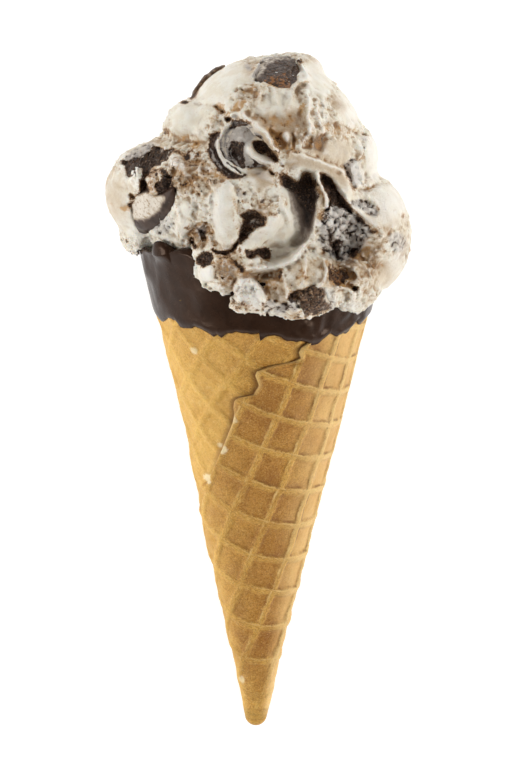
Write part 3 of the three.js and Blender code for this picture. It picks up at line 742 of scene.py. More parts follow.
# ============================================================ the dark hollow and its thin sheets
HOLLOW = [(277, 181), (284, 176), (292, 180), (299, 181), (303, 174), (312, 176), (317, 186), (317, 204), (315, 220), (311, 234),
          (305, 243), (297, 249), (291, 244), (293, 230), (291, 216), (287, 202), (282, 192)]
R.patch(HOLLOW, -4.6, 4.5)
R.patch([(296, 184), (312, 180), (316, 200), (313, 220), (306, 228), (300, 206)], -1.6, 3)
DK.patch([(283, 183), (290, 180), (300, 181), (304, 174), (311, 175), (316, 186), (316.5, 204), (315, 216), (311, 213), (304, 203), (296, 196),
          (287, 191)], 0.95, 4.0)
DK.patch([(276, 176), (283, 172), (291, 176), (290, 186), (283, 187)], 0.62, 3.0)
HOLLOW_SHADE.patch([(281, 186), (290, 184), (300, 186), (316, 190), (316.5, 206), (315, 222), (311, 235), (306, 243), (300, 247), (295, 246), (294, 238), (294, 224),
          (291, 206)], 0.31, 3.5)
HOLLOW_SHADE.patch([(287, 190), (297, 194), (305, 200), (316, 198), (316.5, 208), (315, 222), (311, 234), (306, 241), (300, 244), (298, 232), (296, 216),
          (291, 202)], 0.26, 3.5)
HOLLOW_SHADE.patch([(290, 190), (302, 192), (316, 196), (316.5, 208), (314, 222), (309, 231), (305, 226), (302, 212), (296, 200)], 0.34, 4.0)
for k in range(4):                                       # streaks of film down the wall, varying the painted shade
    HOLLOW_SHADE.ridge([(288 + 4.5 * k, 196 + 3 * k), (293 + 4 * k, 214 + 3 * k), (294 + 3 * k, 236 + k)], 2.0, 0.16 - 0.30 * (k % 2), 1.0)
DK.ridge([(284, 200), (288, 207)], 1.5, 0.8)
DK.ridge([(292, 221), (296, 222)], 1.4, 0.9)
A.patch(HOLLOW, -0.26, 4)
R.dome((280, 183), (4.5, 5), 1.8)
WHITE_AND_HIGHLIGHT.spot((280, 185), (3.5, 4), 0.8)
SP.spot((280, 184), (6, 7), 0.9)
R.fold([(317, 186), (317, 202), (315, 220), (312, 233), (307, 242), (300, 250), (293, 257)], 1.8, 9, 2.2, 0.06, 1.2)
R.patch([(319, 174), (325, 175), (333, 183), (338, 191), (344, 200), (351, 208), (352, 213), (344, 208), (336, 206), (333, 202), (330, 208),
         (326, 198), (322, 184)], -3.2, 1.8)
DK.patch([(318, 173), (326, 175), (333, 182), (339, 191), (345, 200), (352, 208), (351, 213), (343, 207), (336, 206), (333, 203), (331, 209),
          (326, 198), (321, 184)], 1.25, 1.5)
R.ridge([(316, 172), (319, 180), (323, 190), (326, 200), (329, 209)], 2.6, 4.4, 0.7, 0.08)
WHITE_AND_HIGHLIGHT.ridge([(316, 172), (319, 180), (323, 190), (326, 200), (329, 209)], 1.9, 2.0, 0.8, 0.08)
DK.ridge([(316, 172), (319, 180), (323, 190), (326, 200), (329, 209)], 2.2, -1.3, 0.8, 0.08)
R.ridge([(333, 190), (335, 198), (332, 206), (331, 216)], 2.2, 2.4, 0.8, 0.1)
WHITE_AND_HIGHLIGHT.ridge([(333, 192), (335, 198), (333, 206), (331, 216)], 1.5, 0.9, 0.8, 0.1)
TP.patch([(317, 184), (321, 188), (326, 204), (328, 212), (322, 220), (316, 218)], 0.6, 1.8)
OB.patch([(318, 214), (325, 212), (329, 218), (323, 221), (317, 219)], 0.7, 2.2)
DK.patch([(318, 215), (325, 212), (329, 216), (323, 220)], 0.55, 2)
DK.ridge([(316, 180), (319, 188), (318, 196)], 1.8, 0.5)

# ============================================================ broad ridge and the right lobe
R.fold([(334, 178), (343, 190), (350, 203), (359, 213), (370, 222), (380, 230), (386, 236)], 2.4, 4, 14, 0.1, 1.1, 0.14)
WHITE_AND_HIGHLIGHT.ridge([(340, 186), (348, 200), (357, 211), (368, 220), (378, 227)], 4.0, 0.7)
A.ridge([(340, 184), (354, 204), (372, 222)], 9, -0.24, 0.8)
TP.ridge([(352, 208), (362, 217), (374, 226), (384, 230)], 3.5, 0.6)
DK.ridge([(352, 210), (360, 219), (368, 227), (374, 232), (380, 228)], 2.6, 0.75, 0.9)
OB.ridge([(366, 222), (374, 226), (382, 230)], 3.6, 0.9)
GR.patch([(350, 200), (360, 198), (370, 204), (378, 212), (376, 218), (364, 212), (354, 207)], 0.9, 2.5)
DK.spots([(353, 203), (357, 201), (361, 204), (363, 201), (367, 206), (372, 209), (370, 213), (376, 214), (378, 208)], 1.7, 0.75)
A.patch([(350, 200), (360, 198), (372, 205), (380, 214), (366, 214)], 0.45, 3)
R.dome((386, 222), (28, 44), 1.6, 8)
A.spot((388, 206), (20, 22), -0.27)
A.spot((390, 275), (16, 18), -0.22)
WHITE_AND_HIGHLIGHT.spot((392, 205), (18, 20), 0.8)
WHITE_AND_HIGHLIGHT.spot((398, 262), (10, 14), 0.5)
GR.patch([(388, 236), (396, 230), (404, 236), (408, 246), (402, 254), (393, 252), (388, 246)], 0.7, 5)
DK.spots([(391, 244), (394, 237), (396, 242), (399, 247), (402, 240), (404, 246), (393, 250), (407, 247), (403, 215), (402, 218), (382, 266),
          (380, 264), (384, 252), (404, 270), (390, 233), (386, 240), (376, 262), (371, 268)], 1.5, 0.7)
TP.spots([(383, 266), (380, 248), (372, 266), (393, 222), (388, 228)], 3.4, 0.6)
R.dome((398, 243), (8, 8), -0.9)
for k in range(5):
    R.ridge([(372 + 6 * k, 194 + 3 * k), (378 + 6 * k, 208 + 3 * k), (379 + 6 * k, 226 + 3 * k)], 3, 0.4 - 0.6 * (k % 2), 1.3)
R.fold([(370, 302), (378, 291), (390, 281), (402, 270)], 1.0, 8, 6)
R.ridge([(404, 268), (398, 274), (388, 282), (376, 290)], 4, -0.9, 1.1)
TP.patch([(354, 238), (368, 234), (380, 242), (380, 262), (372, 274), (360, 280), (352, 270), (350, 252)], 0.65, 5)
OB.patch([(356, 240), (368, 238), (374, 250), (364, 266), (354, 262)], 0.3, 4)
TP.patch([(362, 276), (384, 262), (396, 272), (384, 286), (366, 294)], 0.25, 4)
OB.spots([(352, 268), (358, 256), (366, 246), (345, 296), (372, 297), (364, 285)], 2.4, 0.45)

# ============================================================ icy blocks
BLOCKS = [((345, 210), (5.5, 6.5), 20, 0.55), ((337, 214), (4.5, 8), 5, 1.0), ((352, 221), (7, 6), 30, 0.35), ((362, 226), (6, 5), 30, 0.2),
          ((337, 228), (5, 5.5), 0, 0.7), ((345, 226), (4, 5), 0, 0.3), ((358, 236), (6, 5), -30, 0.6), ((367, 233), (4, 4), 0, 0.3),
          ((346, 240), (5.5, 4.5), 20, 0.8), ((354, 244), (6, 4.6), 10, 1.0), ((343, 252), (4.5, 6), 0, 0.9), ((328, 227), (6, 6), 30, 0.7),
          ((322, 232), (5, 6), 0, 0.6), ((330, 216), (4.5, 5), 0, 1.0), ((327, 248), (6, 7), 20, 0.9), ((320, 250), (5, 7), 0, 0.8),
          ((336, 236), (4, 3.5), 0, 0.5), ((331, 257), (4.5, 6), 30, 0.9), ((349, 251), (4, 4), 0, 0.1), ((341, 220), (4, 4), 0, 0.4)]
ICY = [(332, 203), (342, 206), (352, 213), (362, 221), (370, 228), (372, 234), (364, 242), (356, 252), (346, 260), (334, 262), (322, 256), (316, 244),
       (315, 226), (322, 214)]
R.patch(ICY, -3.0, 3)
GR.patch([(330, 203), (344, 205), (354, 212), (368, 226), (372, 234), (358, 250), (344, 260), (330, 256), (320, 246), (318, 228), (326, 212)], 1.0, 3)
# each block gets a white spot up and left of its centre: a painted highlight
for c, r, t, w in BLOCKS:
    R.dome(c, (r[0] * 1.08, r[1] * 1.08), 0.9 + 0.8 * w, t, 0.7)
    WHITE_AND_HIGHLIGHT.spot((c[0] - 0.8, c[1] - 1.0), (r[0] * 0.6, r[1] * 0.6), 0.55 * w, t)
A.patch(ICY, 0.05, 4)
icy = Map(0.0)
icy.patch(ICY, 1.0, 3)
q1, q2, qc = cells(WX / 7.2 + 3, WY / 6.4, GO, 331)
# raised cells whiter, as painted highlights; dark between them, dark cookie that also stands for painted shade in the
# cracks
R.a += icy.a * (1.7 * (qc - 0.45) + 1.3 * sstep(0.0, 0.28, q2 - q1))
WHITE_AND_HIGHLIGHT.a += icy.a * 0.85 * sstep(0.35, 0.8, qc) * sstep(0.05, 0.35, q2 - q1)
DK.a += icy.a * 0.55 * sstep(0.14, 0.0, q2 - q1) * sstep(0.6, 0.2, qc)
# dark cookie in the cracks between the blocks, which also serves as painted shade
DK.patch([(345, 232), (350, 231), (352, 235), (348, 236)], 1.1, 1.2)
DK.patch([(332, 243), (338, 239), (342, 242), (341, 247), (336, 248), (333, 247)], 1.2, 1.2)
DK.patch([(334, 248), (338, 248), (339, 254), (336, 257)], 1.1, 1.2)
DK.patch([(350, 250), (355, 249), (357, 253), (354, 257), (350, 256)], 1.1, 1.3)
DK.ridge([(326, 232), (330, 238), (333, 244)], 2.0, 0.95)
DK.ridge([(320, 240), (326, 244), (333, 246)], 1.8, 0.8)
DK.ridge([(352, 235), (358, 231), (366, 229)], 1.5, 0.75)
DK.ridge([(356, 240), (362, 240), (368, 234)], 1.7, 0.7)
DK.ridge([(339, 222), (341, 232), (340, 240)], 1.4, 0.7)
DK.ridge([(350, 212), (345, 218), (342, 224)], 1.2, 0.5)
DK.spot((325, 251), (2, 2), 0.8)
TP.patch([(344, 250), (358, 248), (362, 256), (352, 264), (342, 262)], 0.9, 3)
R.fold([(328, 216), (331, 224), (332, 236), (330, 246)], 1.2, 3, 3)

# ============================================================ middle: rolls, crumb patch, sweep
R.roll([(231, 183), (225, 194), (223, 208), (225, 222), (229, 236), (230, 248)], 14.5, 2.7, 0.16, 0.10, 0.75)
A.ridge([(230, 186), (222, 208), (229, 244)], 12, -0.30, 0.7)
WHITE_AND_HIGHLIGHT.ridge([(226, 188), (219, 200), (219, 218), (224, 238)], 8, 0.75, 0.8)
TP.ridge([(233, 190), (231, 205), (233, 222)], 4, 0.15, 1.0)
SP.ridge([(230, 186), (222, 208), (229, 244)], 12, -0.1, 0.7)
TP.ridge([(239, 186), (240, 204), (240, 222), (237, 236)], 5, 0.5, 0.9)
R.ridge([(217, 190), (213, 206), (213, 226), (217, 244), (222, 250)], 4, -1.6, 1.0)
R.roll([(188, 198), (186, 212), (183, 228), (184, 242)], 8, 1.4, 0.25, 0.05)
A.ridge([(187, 200), (184, 220), (184, 240)], 7, -0.2, 0.8)
R.fold([(175, 192), (177, 204), (180, 214), (183, 223)], 1.1, 3.5, 3)
DK.ridge([(174, 191), (176, 200), (180, 212)], 1.5, 0.8, 1.0)
OB.ridge([(178, 200), (181, 211), (183, 221)], 1.6, 0.9)
R.patch([(243, 186), (262, 180), (278, 186), (280, 200), (268, 208), (250, 208), (242, 198)], -0.8, 4)
GR.spots([(239, 190), (243, 194), (238, 196), (263, 200), (260, 196)], 3, 0.7)
DK.spots([(240, 189), (243, 193), (241, 198), (242, 203), (260, 199), (264, 200), (279, 207), (280, 203), (272, 199)], 1.7, 0.65)
OB.spots([(233, 202), (236, 206), (232, 197), (240, 207), (245, 196), (252, 206)], 2.0, 0.65)
TP.patch([(246, 196), (262, 194), (278, 200), (276, 210), (262, 212), (250, 208)], 0.4, 3)
R.patch([(240, 216), (247, 211), (258, 209), (266, 215), (268, 224), (258, 230), (250, 234), (244, 243), (239, 242), (240, 232), (244, 222)], -2.2, 2)
DK.patch([(239, 216), (246, 212), (254, 210), (262, 213), (267, 220), (264, 226), (257, 228), (251, 232), (247, 239), (242, 244), (239, 242), (240, 232),
          (244, 222)], 0.9, 1.6)
DK.patch([(251, 219), (257, 218), (259, 224), (252, 228), (248, 225)], -0.6, 1.5)
GR.patch([(250, 219), (258, 217), (260, 225), (252, 229), (248, 225)], 0.9, 1.5)
A.patch([(240, 214), (254, 209), (268, 218), (256, 230), (242, 244)], 0.4, 2)
TP.patch([(250, 206), (262, 204), (270, 212), (268, 218), (256, 210)], 0.6, 2)
R.roll([(236, 254), (246, 246), (258, 238), (268, 230), (277, 220), (282, 213)], 7.5, 2.4, 0.15, 0.14)
A.ridge([(236, 254), (258, 238), (282, 213)], 8, -0.2, 0.8)
WHITE_AND_HIGHLIGHT.ridge([(240, 250), (254, 240), (268, 228), (280, 214)], 4.5, 0.6)
OB.ridge([(262, 226), (270, 220), (277, 216)], 2.0, 0.7)
DK.spots([(276, 215), (279, 212), (272, 215)], 1.8, 0.7)
R.patch([(280, 212), (290, 222), (297, 236), (298, 248), (288, 258), (272, 262), (264, 256), (268, 244), (276, 230)], -2.3, 6)
A.patch([(278, 212), (294, 222), (302, 244), (288, 262), (268, 264), (266, 246)], -0.22, 5)
SP.patch([(278, 212), (294, 222), (302, 244), (288, 262), (268, 264), (266, 246)], -0.1, 5)
for k in range(4):
    R.ridge([(279 + 5 * k, 216 + 3 * k), (286 + 4 * k, 232 + 2 * k), (284 + 3 * k, 248)], 2.4, 0.3 - 0.45 * (k % 2), 1.2)
TP.ridge([(270, 238), (280, 250), (272, 258)], 4, 0.25)
R.fold([(309, 240), (303, 247), (295, 256), (286, 262), (275, 266), (262, 268), (250, 268), (240, 265)], 2.8, 5.0, 5.0, 0.08, 1.1, 0.12)
WHITE_AND_HIGHLIGHT.ridge([(309, 241), (303, 248), (295, 257), (286, 262), (275, 266), (262, 268), (250, 268)], 4.5, 1.2, 0.9, 0.1)
R.patch([(246, 250), (252, 250), (259, 247), (266, 250), (271, 256), (267, 261), (258, 257), (249, 257)], -2.6, 1.6)
DK.patch([(245, 249), (251, 251), (256, 249), (262, 247), (267, 250), (270, 255), (268, 260), (263, 259), (257, 255), (250, 257), (246, 254)], 1.3, 1.2)
OB.ridge([(262, 258), (268, 263), (270, 266)], 2.2, 0.9)
R.ridge([(214, 248), (219, 252), (226, 253), (231, 252), (236, 246), (239, 241)], 3, -1.8, 1.0)
DK.ridge([(214, 248), (219, 252), (226, 253), (231, 252), (236, 246), (239, 241)], 2.0, 1.15, 1.0, 0.1)
TP.patch([(212, 250), (234, 254), (246, 262), (240, 272), (226, 266), (212, 260)], 0.5, 3)
DK.spots([(216, 249), (221, 257), (224, 260), (230, 262), (220, 262), (233, 259), (226, 256), (240, 256), (214, 262)], 1.8, 0.75)
DK.patch([(232, 264), (238, 262), (243, 265), (242, 270), (236, 271), (238, 267)], 0.95, 1.5)
R.patch([(200, 254), (208, 251), (213, 256), (208, 262), (202, 265)], -1.4, 1.6)
DK.patch([(200, 256), (206, 252), (212, 253), (212, 259), (207, 261), (203, 266), (199, 264)], 1.2, 1.2)

# ============================================================ facets under the sweep's lip
R.patch([(244, 271), (262, 272), (280, 269), (286, 280), (287, 294), (280, 304), (268, 300), (260, 288), (250, 278)], -1.8, 3)
TP.patch([(240, 270), (262, 272), (280, 269), (286, 280), (286, 294), (280, 304), (268, 298), (258, 286), (248, 278)], 0.8, 2.5)
OB.patch([(240, 270), (254, 274), (264, 280), (276, 280), (276, 286), (264, 287), (256, 280), (244, 277)], 0.8, 2)
OB.ridge([(264, 288), (270, 284), (279, 280)], 1.5, 0.9)
OB.ridge([(268, 291), (276, 288), (281, 290)], 2.0, 0.9)
DK.spot((276, 289), (3, 1.8), 0.75)
DK.patch([(279, 272), (282, 271), (282, 279), (279, 279)], 1.0, 1.0)
DK.spots([(291, 271), (300, 270), (304, 272), (306, 277), (311, 279), (303, 274), (314, 274), (319, 280), (297, 278), (320, 268), (316, 276)], 1.5, 0.75)
R.fold([(280, 268), (284, 278), (287, 288), (287, 296)], 1.6, 5, 2.5)
WHITE_AND_HIGHLIGHT.ridge([(281, 270), (285, 280), (288, 292)], 1.8, 1.0)
R.patch([(287, 266), (300, 260), (304, 272), (300, 286), (291, 292), (288, 280)], -0.8, 3)
R.fold([(305, 252), (306, 264), (304, 278), (300, 288)], 1.3, 6, 3)
WHITE_AND_HIGHLIGHT.ridge([(305, 254), (306, 264), (304, 276)], 1.8, 0.9)
R.patch([(308, 262), (322, 258), (324, 274), (318, 286), (308, 288)], -0.7, 3)
R.fold([(322, 256), (325, 268), (324, 280), (318, 288), (310, 292)], 1.9, 3, 6, 0.12)
WHITE_AND_HIGHLIGHT.ridge([(324, 264), (325, 274), (321, 284)], 1.8, 1.0)
TP.patch([(290, 264), (302, 262), (320, 260), (322, 276), (312, 288), (292, 290)], 0.45, 3)
SP.patch([(290, 264), (320, 258), (322, 278), (304, 290), (290, 288)], 0.35, 3)
A.patch([(286, 262), (322, 258), (324, 280), (300, 292), (288, 288)], -0.1, 3)

# ============================================================ lower right
R.patch([(327, 264), (338, 263), (348, 269), (356, 279), (348, 286), (336, 284), (328, 280)], -1.8, 2.2)
TP.patch([(325, 260), (340, 262), (354, 270), (358, 280), (350, 288), (336, 286), (326, 282)], 0.9, 2.5)
OB.patch([(326, 264), (340, 264), (356, 276), (350, 286), (334, 286), (328, 278)], 0.5, 2)
DK.patch([(328, 268), (336, 266), (344, 270), (350, 276), (346, 281), (338, 284), (330, 279), (327, 274)], 0.66, 2)
DK.patch([(333, 271), (341, 271), (347, 276), (341, 280), (334, 277)], 0.4, 1.6)
DK.spots([(353, 274), (355, 279), (350, 285), (327, 262)], 1.8, 0.65)
A.patch([(326, 264), (352, 268), (352, 284), (330, 284)], 0.35, 3)
R.ridge([(346, 284), (350, 288), (357, 290)], 3, -2.2, 1.0)
DK.patch([(350, 288), (354, 287), (358, 289), (354, 291)], 1.2, 1.0)
R.fold([(334, 288), (340, 286), (348, 290), (356, 296)], 1.3, 5, 3)
R.fold([(346, 284), (356, 282), (368, 276)], 0.9, 5, 4)
R.fold([(338, 292), (336, 302), (338, 309)], 1.5, 5, 3)
R.fold([(350, 292), (352, 302), (350, 312)], 1.2, 5, 4)
R.fold([(358, 290), (364, 298), (366, 306)], 1.0, 5, 4)
GR.patch([(322, 288), (336, 288), (338, 300), (334, 312), (326, 310), (324, 298)], 0.55, 3)
TP.spot((326, 284), (5, 6), 0.7)
TP.spot((370, 298), (9, 3), 0.5)
WHITE_AND_HIGHLIGHT.spot((352, 306), (12, 5), 0.5)
OB.spot((353, 305), (2.2, 2.2), 0.9)
R.patch([(288, 294), (294, 289), (306, 288), (318, 287), (325, 294), (330, 304), (324, 313), (310, 317), (300, 312), (292, 304)], -1.8, 2)
DK.patch([(288, 296), (293, 291), (301, 288), (312, 290), (322, 290), (326, 298), (329, 306), (322, 313), (306, 318), (302, 308), (298, 303), (290, 303)], 0.5, 2)
DK.ridge([(290, 296), (296, 291), (304, 289)], 2.4, 0.9)
R.dome((293, 306), (7, 7), 1.9)
GR.patch([(287, 302), (296, 300), (300, 306), (298, 313), (290, 312)], 0.8, 2)
WHITE_AND_HIGHLIGHT.spot((294, 304), (3.5, 4), 0.6)
DK.spots([(297, 302), (289, 300), (300, 312), (286, 309)], 1.8, 0.8)
R.dome((296, 317), (9.5, 9.5), 2.8)
TP.spot((295, 317), (8, 8), 0.7)
OB.spot((292, 318), (5, 4), 0.6)
DK.spots([(294, 311), (299, 317), (301, 321), (290, 316), (297, 322)], 1.7, 0.65)
WHITE_AND_HIGHLIGHT.ridge([(288, 320), (293, 325), (300, 325)], 2.0, 1.0)
DK.ridge([(279, 305), (284, 302), (289, 298)], 1.8, 0.8)
DK.ridge([(284, 311), (287, 307), (292, 309)], 1.5, 0.7)
GR.spot((283, 309), (6, 4), 0.6)

# ============================================================ lower left lumps on the chocolate's edge
R.dome((224, 276), (16, 20), 2.2, -38)
TP.patch([(214, 264), (226, 260), (236, 266), (236, 280), (234, 292), (226, 288), (218, 280)], 0.85, 3)
OB.spot((226, 268), (8, 5), 0.4)
DK.spots([(219, 258), (222, 263), (226, 266), (224, 284), (230, 280), (234, 276), (222, 272)], 1.6, 0.6)
SP.spot((226, 272), (12, 12), 0.55)
R.ridge([(211, 263), (214, 272), (220, 281)], 2.8, -1.4, 1.0)
R.dome((207, 272), (9.5, 11), 2.6, -12)
WHITE_AND_HIGHLIGHT.spot((206, 273), (7, 8), 1.0)
A.spot((206, 273), (8, 9), -0.26)
SP.spot((206, 273), (8, 9), -0.1)
R.fold([(220, 284), (226, 293), (233, 300)], 1.2, 3, 4)
WHITE_AND_HIGHLIGHT.ridge([(218, 282), (224, 291), (232, 299)], 2.0, 0.7)
R.patch([(236, 284), (240, 278), (248, 276), (256, 281), (262, 289), (265, 297), (263, 304), (255, 309), (245, 307), (238, 302), (234, 295)], 2.6, 2.0)
R.dome((249, 292), (14, 16), 0.9, -20)
WHITE_AND_HIGHLIGHT.patch([(236, 284), (240, 278), (248, 276), (256, 281), (262, 289), (265, 297), (263, 304), (255, 309), (245, 307), (238, 302), (234, 295)], 0.95, 3)
A.patch([(238, 280), (254, 280), (264, 298), (252, 308), (236, 298)], 0.12, 2)
R.ridge([(235, 278), (233, 290), (236, 300), (244, 306)], 2.6, -2.0, 1.0)
OB.ridge([(236, 281), (238, 277), (244, 275)], 1.8, 0.8)
OB.ridge([(250, 272), (257, 280), (263, 289)], 2.0, 0.8)
R.ridge([(252, 274), (258, 282), (264, 292), (267, 300)], 2.0, -1.2, 1.0)
GR.spot((270, 302), (7, 4), 0.8)
DK.spots([(262, 303), (266, 306), (274, 308), (268, 300)], 2.0, 0.9)
R.dome((239, 307), (8.5, 7), 2.4)
TP.spot((239, 306), (7, 5), 0.5)
DK.spots([(234, 302), (236, 306), (241, 305), (238, 309)], 1.8, 0.8)
DK.ridge([(240, 302), (244, 305), (248, 307)], 1.6, 0.9)
WHITE_AND_HIGHLIGHT.ridge([(234, 309), (239, 313), (245, 311)], 2.0, 0.9)
TP.patch([(244, 302), (256, 306), (264, 308), (254, 310)], 0.6, 2)
OB.ridge([(238, 300), (250, 302), (260, 306)], 1.4, 0.6)

# ============================================================ crater left of the roll
CRATER = [(191, 232), (194, 226), (200, 223), (207, 222), (211, 226), (213, 232), (209, 236), (206, 243), (202, 248), (197, 248), (192, 242), (190, 237)]
R.patch(CRATER, -1.6, 2)
TP.patch(CRATER, 0.9, 2)
GR.patch([(195, 227), (203, 225), (208, 230), (204, 236), (196, 234)], 0.8, 2)
DK.ridge([(193, 227), (191, 234), (192, 241), (197, 247)], 2.2, 0.95, 1.0)
DK.ridge([(197, 225), (202, 224), (208, 223)], 1.6, 0.85)
DK.spots([(196, 229), (197, 236), (206, 238), (211, 230), (207, 233), (199, 232), (212, 235), (203, 240), (194, 246), (187, 229)], 1.9, 0.8)
WHITE_AND_HIGHLIGHT.spots([(195, 232), (199, 230), (203, 236)], 1.8, 0.8)
OB.spots([(198, 243), (208, 232), (212, 233), (188, 228), (203, 218), (206, 216)], 2.4, 0.8)
A.patch(CRATER, 0.45, 3)
DK.ridge([(212, 238), (214, 242), (216, 244)], 1.0, 0.5)
DK.spots([(203, 216), (208, 211), (206, 214), (217, 205)], 1.3, 0.55)
TP.patch([(212, 246), (218, 247), (220, 252), (212, 252)], 0.6, 2)
GR.spot((196, 252), (5, 3), 0.4)

# ============================================================ rough middle left
SP.patch([(170, 150), (206, 154), (214, 178), (200, 198), (180, 192), (170, 176)], 0.6, 4)
A.patch([(166, 148), (186, 150), (206, 156), (214, 172), (206, 190), (186, 196), (172, 190), (164, 168)], 0.42, 5)
TP.patch([(180, 156), (196, 158), (210, 166), (206, 176), (196, 192), (178, 192), (172, 172)], 0.7, 3)
DK.patch([(164, 150), (170, 147), (174, 150), (177, 154), (172, 155), (166, 154)], 0.95, 1.3)
DK.ridge([(174, 152), (180, 154), (186, 158), (190, 155), (191, 151), (197, 152), (199, 158)], 2.0, 1.0, 1.0, 0.1)
DK.patch([(186, 156), (189, 155), (190, 160), (187, 160)], 0.9, 1)
DK.spots([(196, 157), (201, 160), (204, 163), (208, 162), (197, 161), (206, 167), (180, 172), (181, 176), (184, 182), (182, 187), (185, 185),
          (174, 176), (176, 166), (190, 163), (172, 184), (193, 178), (195, 193), (199, 195), (201, 179), (175, 188), (178, 183)], 1.7, 0.72)
OB.spots([(184, 182), (183, 187), (190, 172), (196, 180), (201, 178), (193, 186), (176, 180), (203, 200), (208, 196), (212, 193), (186, 205), (192, 206)], 2.4, 0.6)
OB.patch([(200, 176), (210, 169), (218, 171), (222, 178), (212, 184), (204, 184)], 0.55, 2.5)
OB.spot((227, 179), (4, 3), 0.8)
TP.patch([(200, 172), (216, 168), (224, 176), (218, 188), (206, 190)], 0.45, 3)
WHITE_AND_HIGHLIGHT.patch([(167, 157), (174, 156), (182, 160), (184, 168), (176, 168), (170, 164)], 0.9, 2)
R.patch([(167, 157), (174, 156), (182, 160), (184, 168), (176, 168), (170, 164)], 1.2, 2)
WHITE_AND_HIGHLIGHT.spots([(200, 168), (208, 170), (212, 164), (189, 152), (193, 156)], 3, 0.8)
R.fold([(186, 160), (198, 166), (208, 168)], 1.0, 4, 3)
R.fold([(178, 170), (188, 174), (194, 184), (196, 194)], 1.1, 4, 3)
DK.ridge([(190, 176), (194, 184), (197, 194)], 1.1, 0.6)
R.fold([(200, 176), (212, 186), (218, 196)], 0.8, 4, 4)
SP.spot((200, 212), (22, 14), 0.25)
SP.spot((236, 204), (12, 10), 0.35)

# ============================================================ left lobe with its cookie and chocolate
COOKIE_L = [(122, 160), (130, 160), (138, 157), (144, 155), (150, 151), (153, 148), (160, 149), (167, 152), (167, 158), (162, 161), (157, 165), (151, 169),
            (147, 176), (143, 175), (141, 168), (137, 165), (131, 170), (130, 178), (127, 176), (124, 168)]
R.patch(COOKIE_L, -2.2, 2)
DK.patch(COOKIE_L, 0.95, 1.2)
TP.patch([(130, 152), (146, 140), (162, 134), (164, 146), (150, 149), (138, 156), (126, 160)], 0.6, 2.5)
GR.patch([(126, 158), (134, 148), (146, 142), (154, 144), (148, 152), (138, 157)], 0.75, 2.5)
GR.ridge([(126, 160), (136, 156), (146, 151)], 2.4, 0.6)
R.fold([(120, 162), (132, 152), (146, 144), (158, 138)], 1.0, 6, 5)
R.patch([(129, 185), (129.5, 177), (131.5, 179), (132.5, 170), (134.5, 174), (137, 164.5), (139, 171), (141.5, 167), (143, 176), (141, 183), (136, 188), (131, 187)], 2.2, 1.1, False)
WHITE_AND_HIGHLIGHT.patch([(129, 185), (129.5, 177), (131.5, 179), (132.5, 170), (134.5, 174), (137, 164.5), (139, 171), (141.5, 167), (143, 176), (141, 183), (136, 188), (131, 187)], 0.6, 1.5, False)
DK.ridge([(126, 168), (128, 174), (130, 180)], 1.6, 0.9)
GR.spot((125, 178), (5, 5), 0.45)
R.dome((156, 180), (11, 15), 2.6, 8, 0.5)
A.spot((155, 178), (12, 15), 0.45)
A.spot((136, 176), (8, 11), 0.35)
TP.spot((154, 180), (8, 12), 0.45)
OB.spots([(147, 176), (150, 190), (156, 190), (160, 176), (134, 172)], 2.4, 0.7)
DK.spots([(153, 181), (157, 184), (150, 176), (156, 171), (159, 184), (152, 188), (147, 184), (161, 188)], 1.5, 0.8)
WHITE_AND_HIGHLIGHT.patch([(147, 178), (149, 171), (154, 168), (158, 168), (157, 176), (152, 184), (148, 188)], 0.45, 2.5)
TP.patch([(148, 184), (155, 180), (160, 188), (156, 195), (150, 193)], 0.5, 2)
OB.spots([(151, 181), (153, 178), (156, 172), (150, 186)], 2.0, 0.7)
DK.patch([(160, 168), (167, 170), (171, 178), (170, 188), (167, 194), (160, 196), (158, 189), (156, 184), (161, 180), (163, 174)], 1.0, 1.5)
DK.spots([(155, 175), (158, 178), (153, 171), (160, 171)], 1.6, 0.75)
WHITE_AND_HIGHLIGHT.spots([(158, 182), (155, 178), (161, 176)], 1.4, 0.7)
R.patch([(139, 181), (145, 180), (148, 187), (147, 191), (141, 191)], -2.4, 1.5)
DK.patch([(139, 182), (144, 180), (148, 186), (148, 191), (142, 191)], 1.2, 1.3)
R.dome((131, 195), (4, 3), -1.6)
DK.patch([(128, 194), (133, 193), (135, 196), (131, 198)], 1.0, 1.0)
DK.ridge([(135, 194), (139, 191), (143, 191)], 1.8, 0.9)
R.ridge([(121, 208), (128, 206), (133, 202)], 4, -1.4, 1.0)
DK.patch([(127, 204), (131, 201), (134, 201), (132, 209), (127, 207)], 0.85, 1.3)
OB.patch([(119, 208), (127, 205), (134, 205), (131, 210), (122, 211)], 1.0, 1.5)
GR.spot((124, 202), (5, 3), 0.5)
R.ridge([(112, 178), (118, 185), (124, 189), (132, 191)], 3.6, -1.1, 1.1)
OB.ridge([(113, 179), (118, 185), (123, 189)], 1.4, 0.5)
R.patch([(133, 196), (141, 190), (156, 192), (170, 190), (176, 198), (173, 210), (163, 224), (148, 231), (137, 227), (131, 214)], -1.2, 2)
A.spot((116, 196), (14, 24), -0.27)
A.spot((128, 224), (18, 12), -0.2, 40)
WHITE_AND_HIGHLIGHT.spot((140, 238), (14, 10), 0.5, 30)
GR.patch([(154, 226), (164, 219), (172, 216), (175, 222), (170, 232), (160, 235), (154, 232)], 0.65, 2.5)
R.ridge([(153, 229), (162, 224), (170, 217)], 3, -1.2, 1.0)
OB.spots([(113, 188), (120, 200), (118, 220), (108, 205), (133, 227)], 2.2, 0.35)
R.ridge([(168, 245), (172, 243), (176, 247)], 3, -1.0, 1.0)
GR.spot((168, 243), (4, 2.4), 0.6)

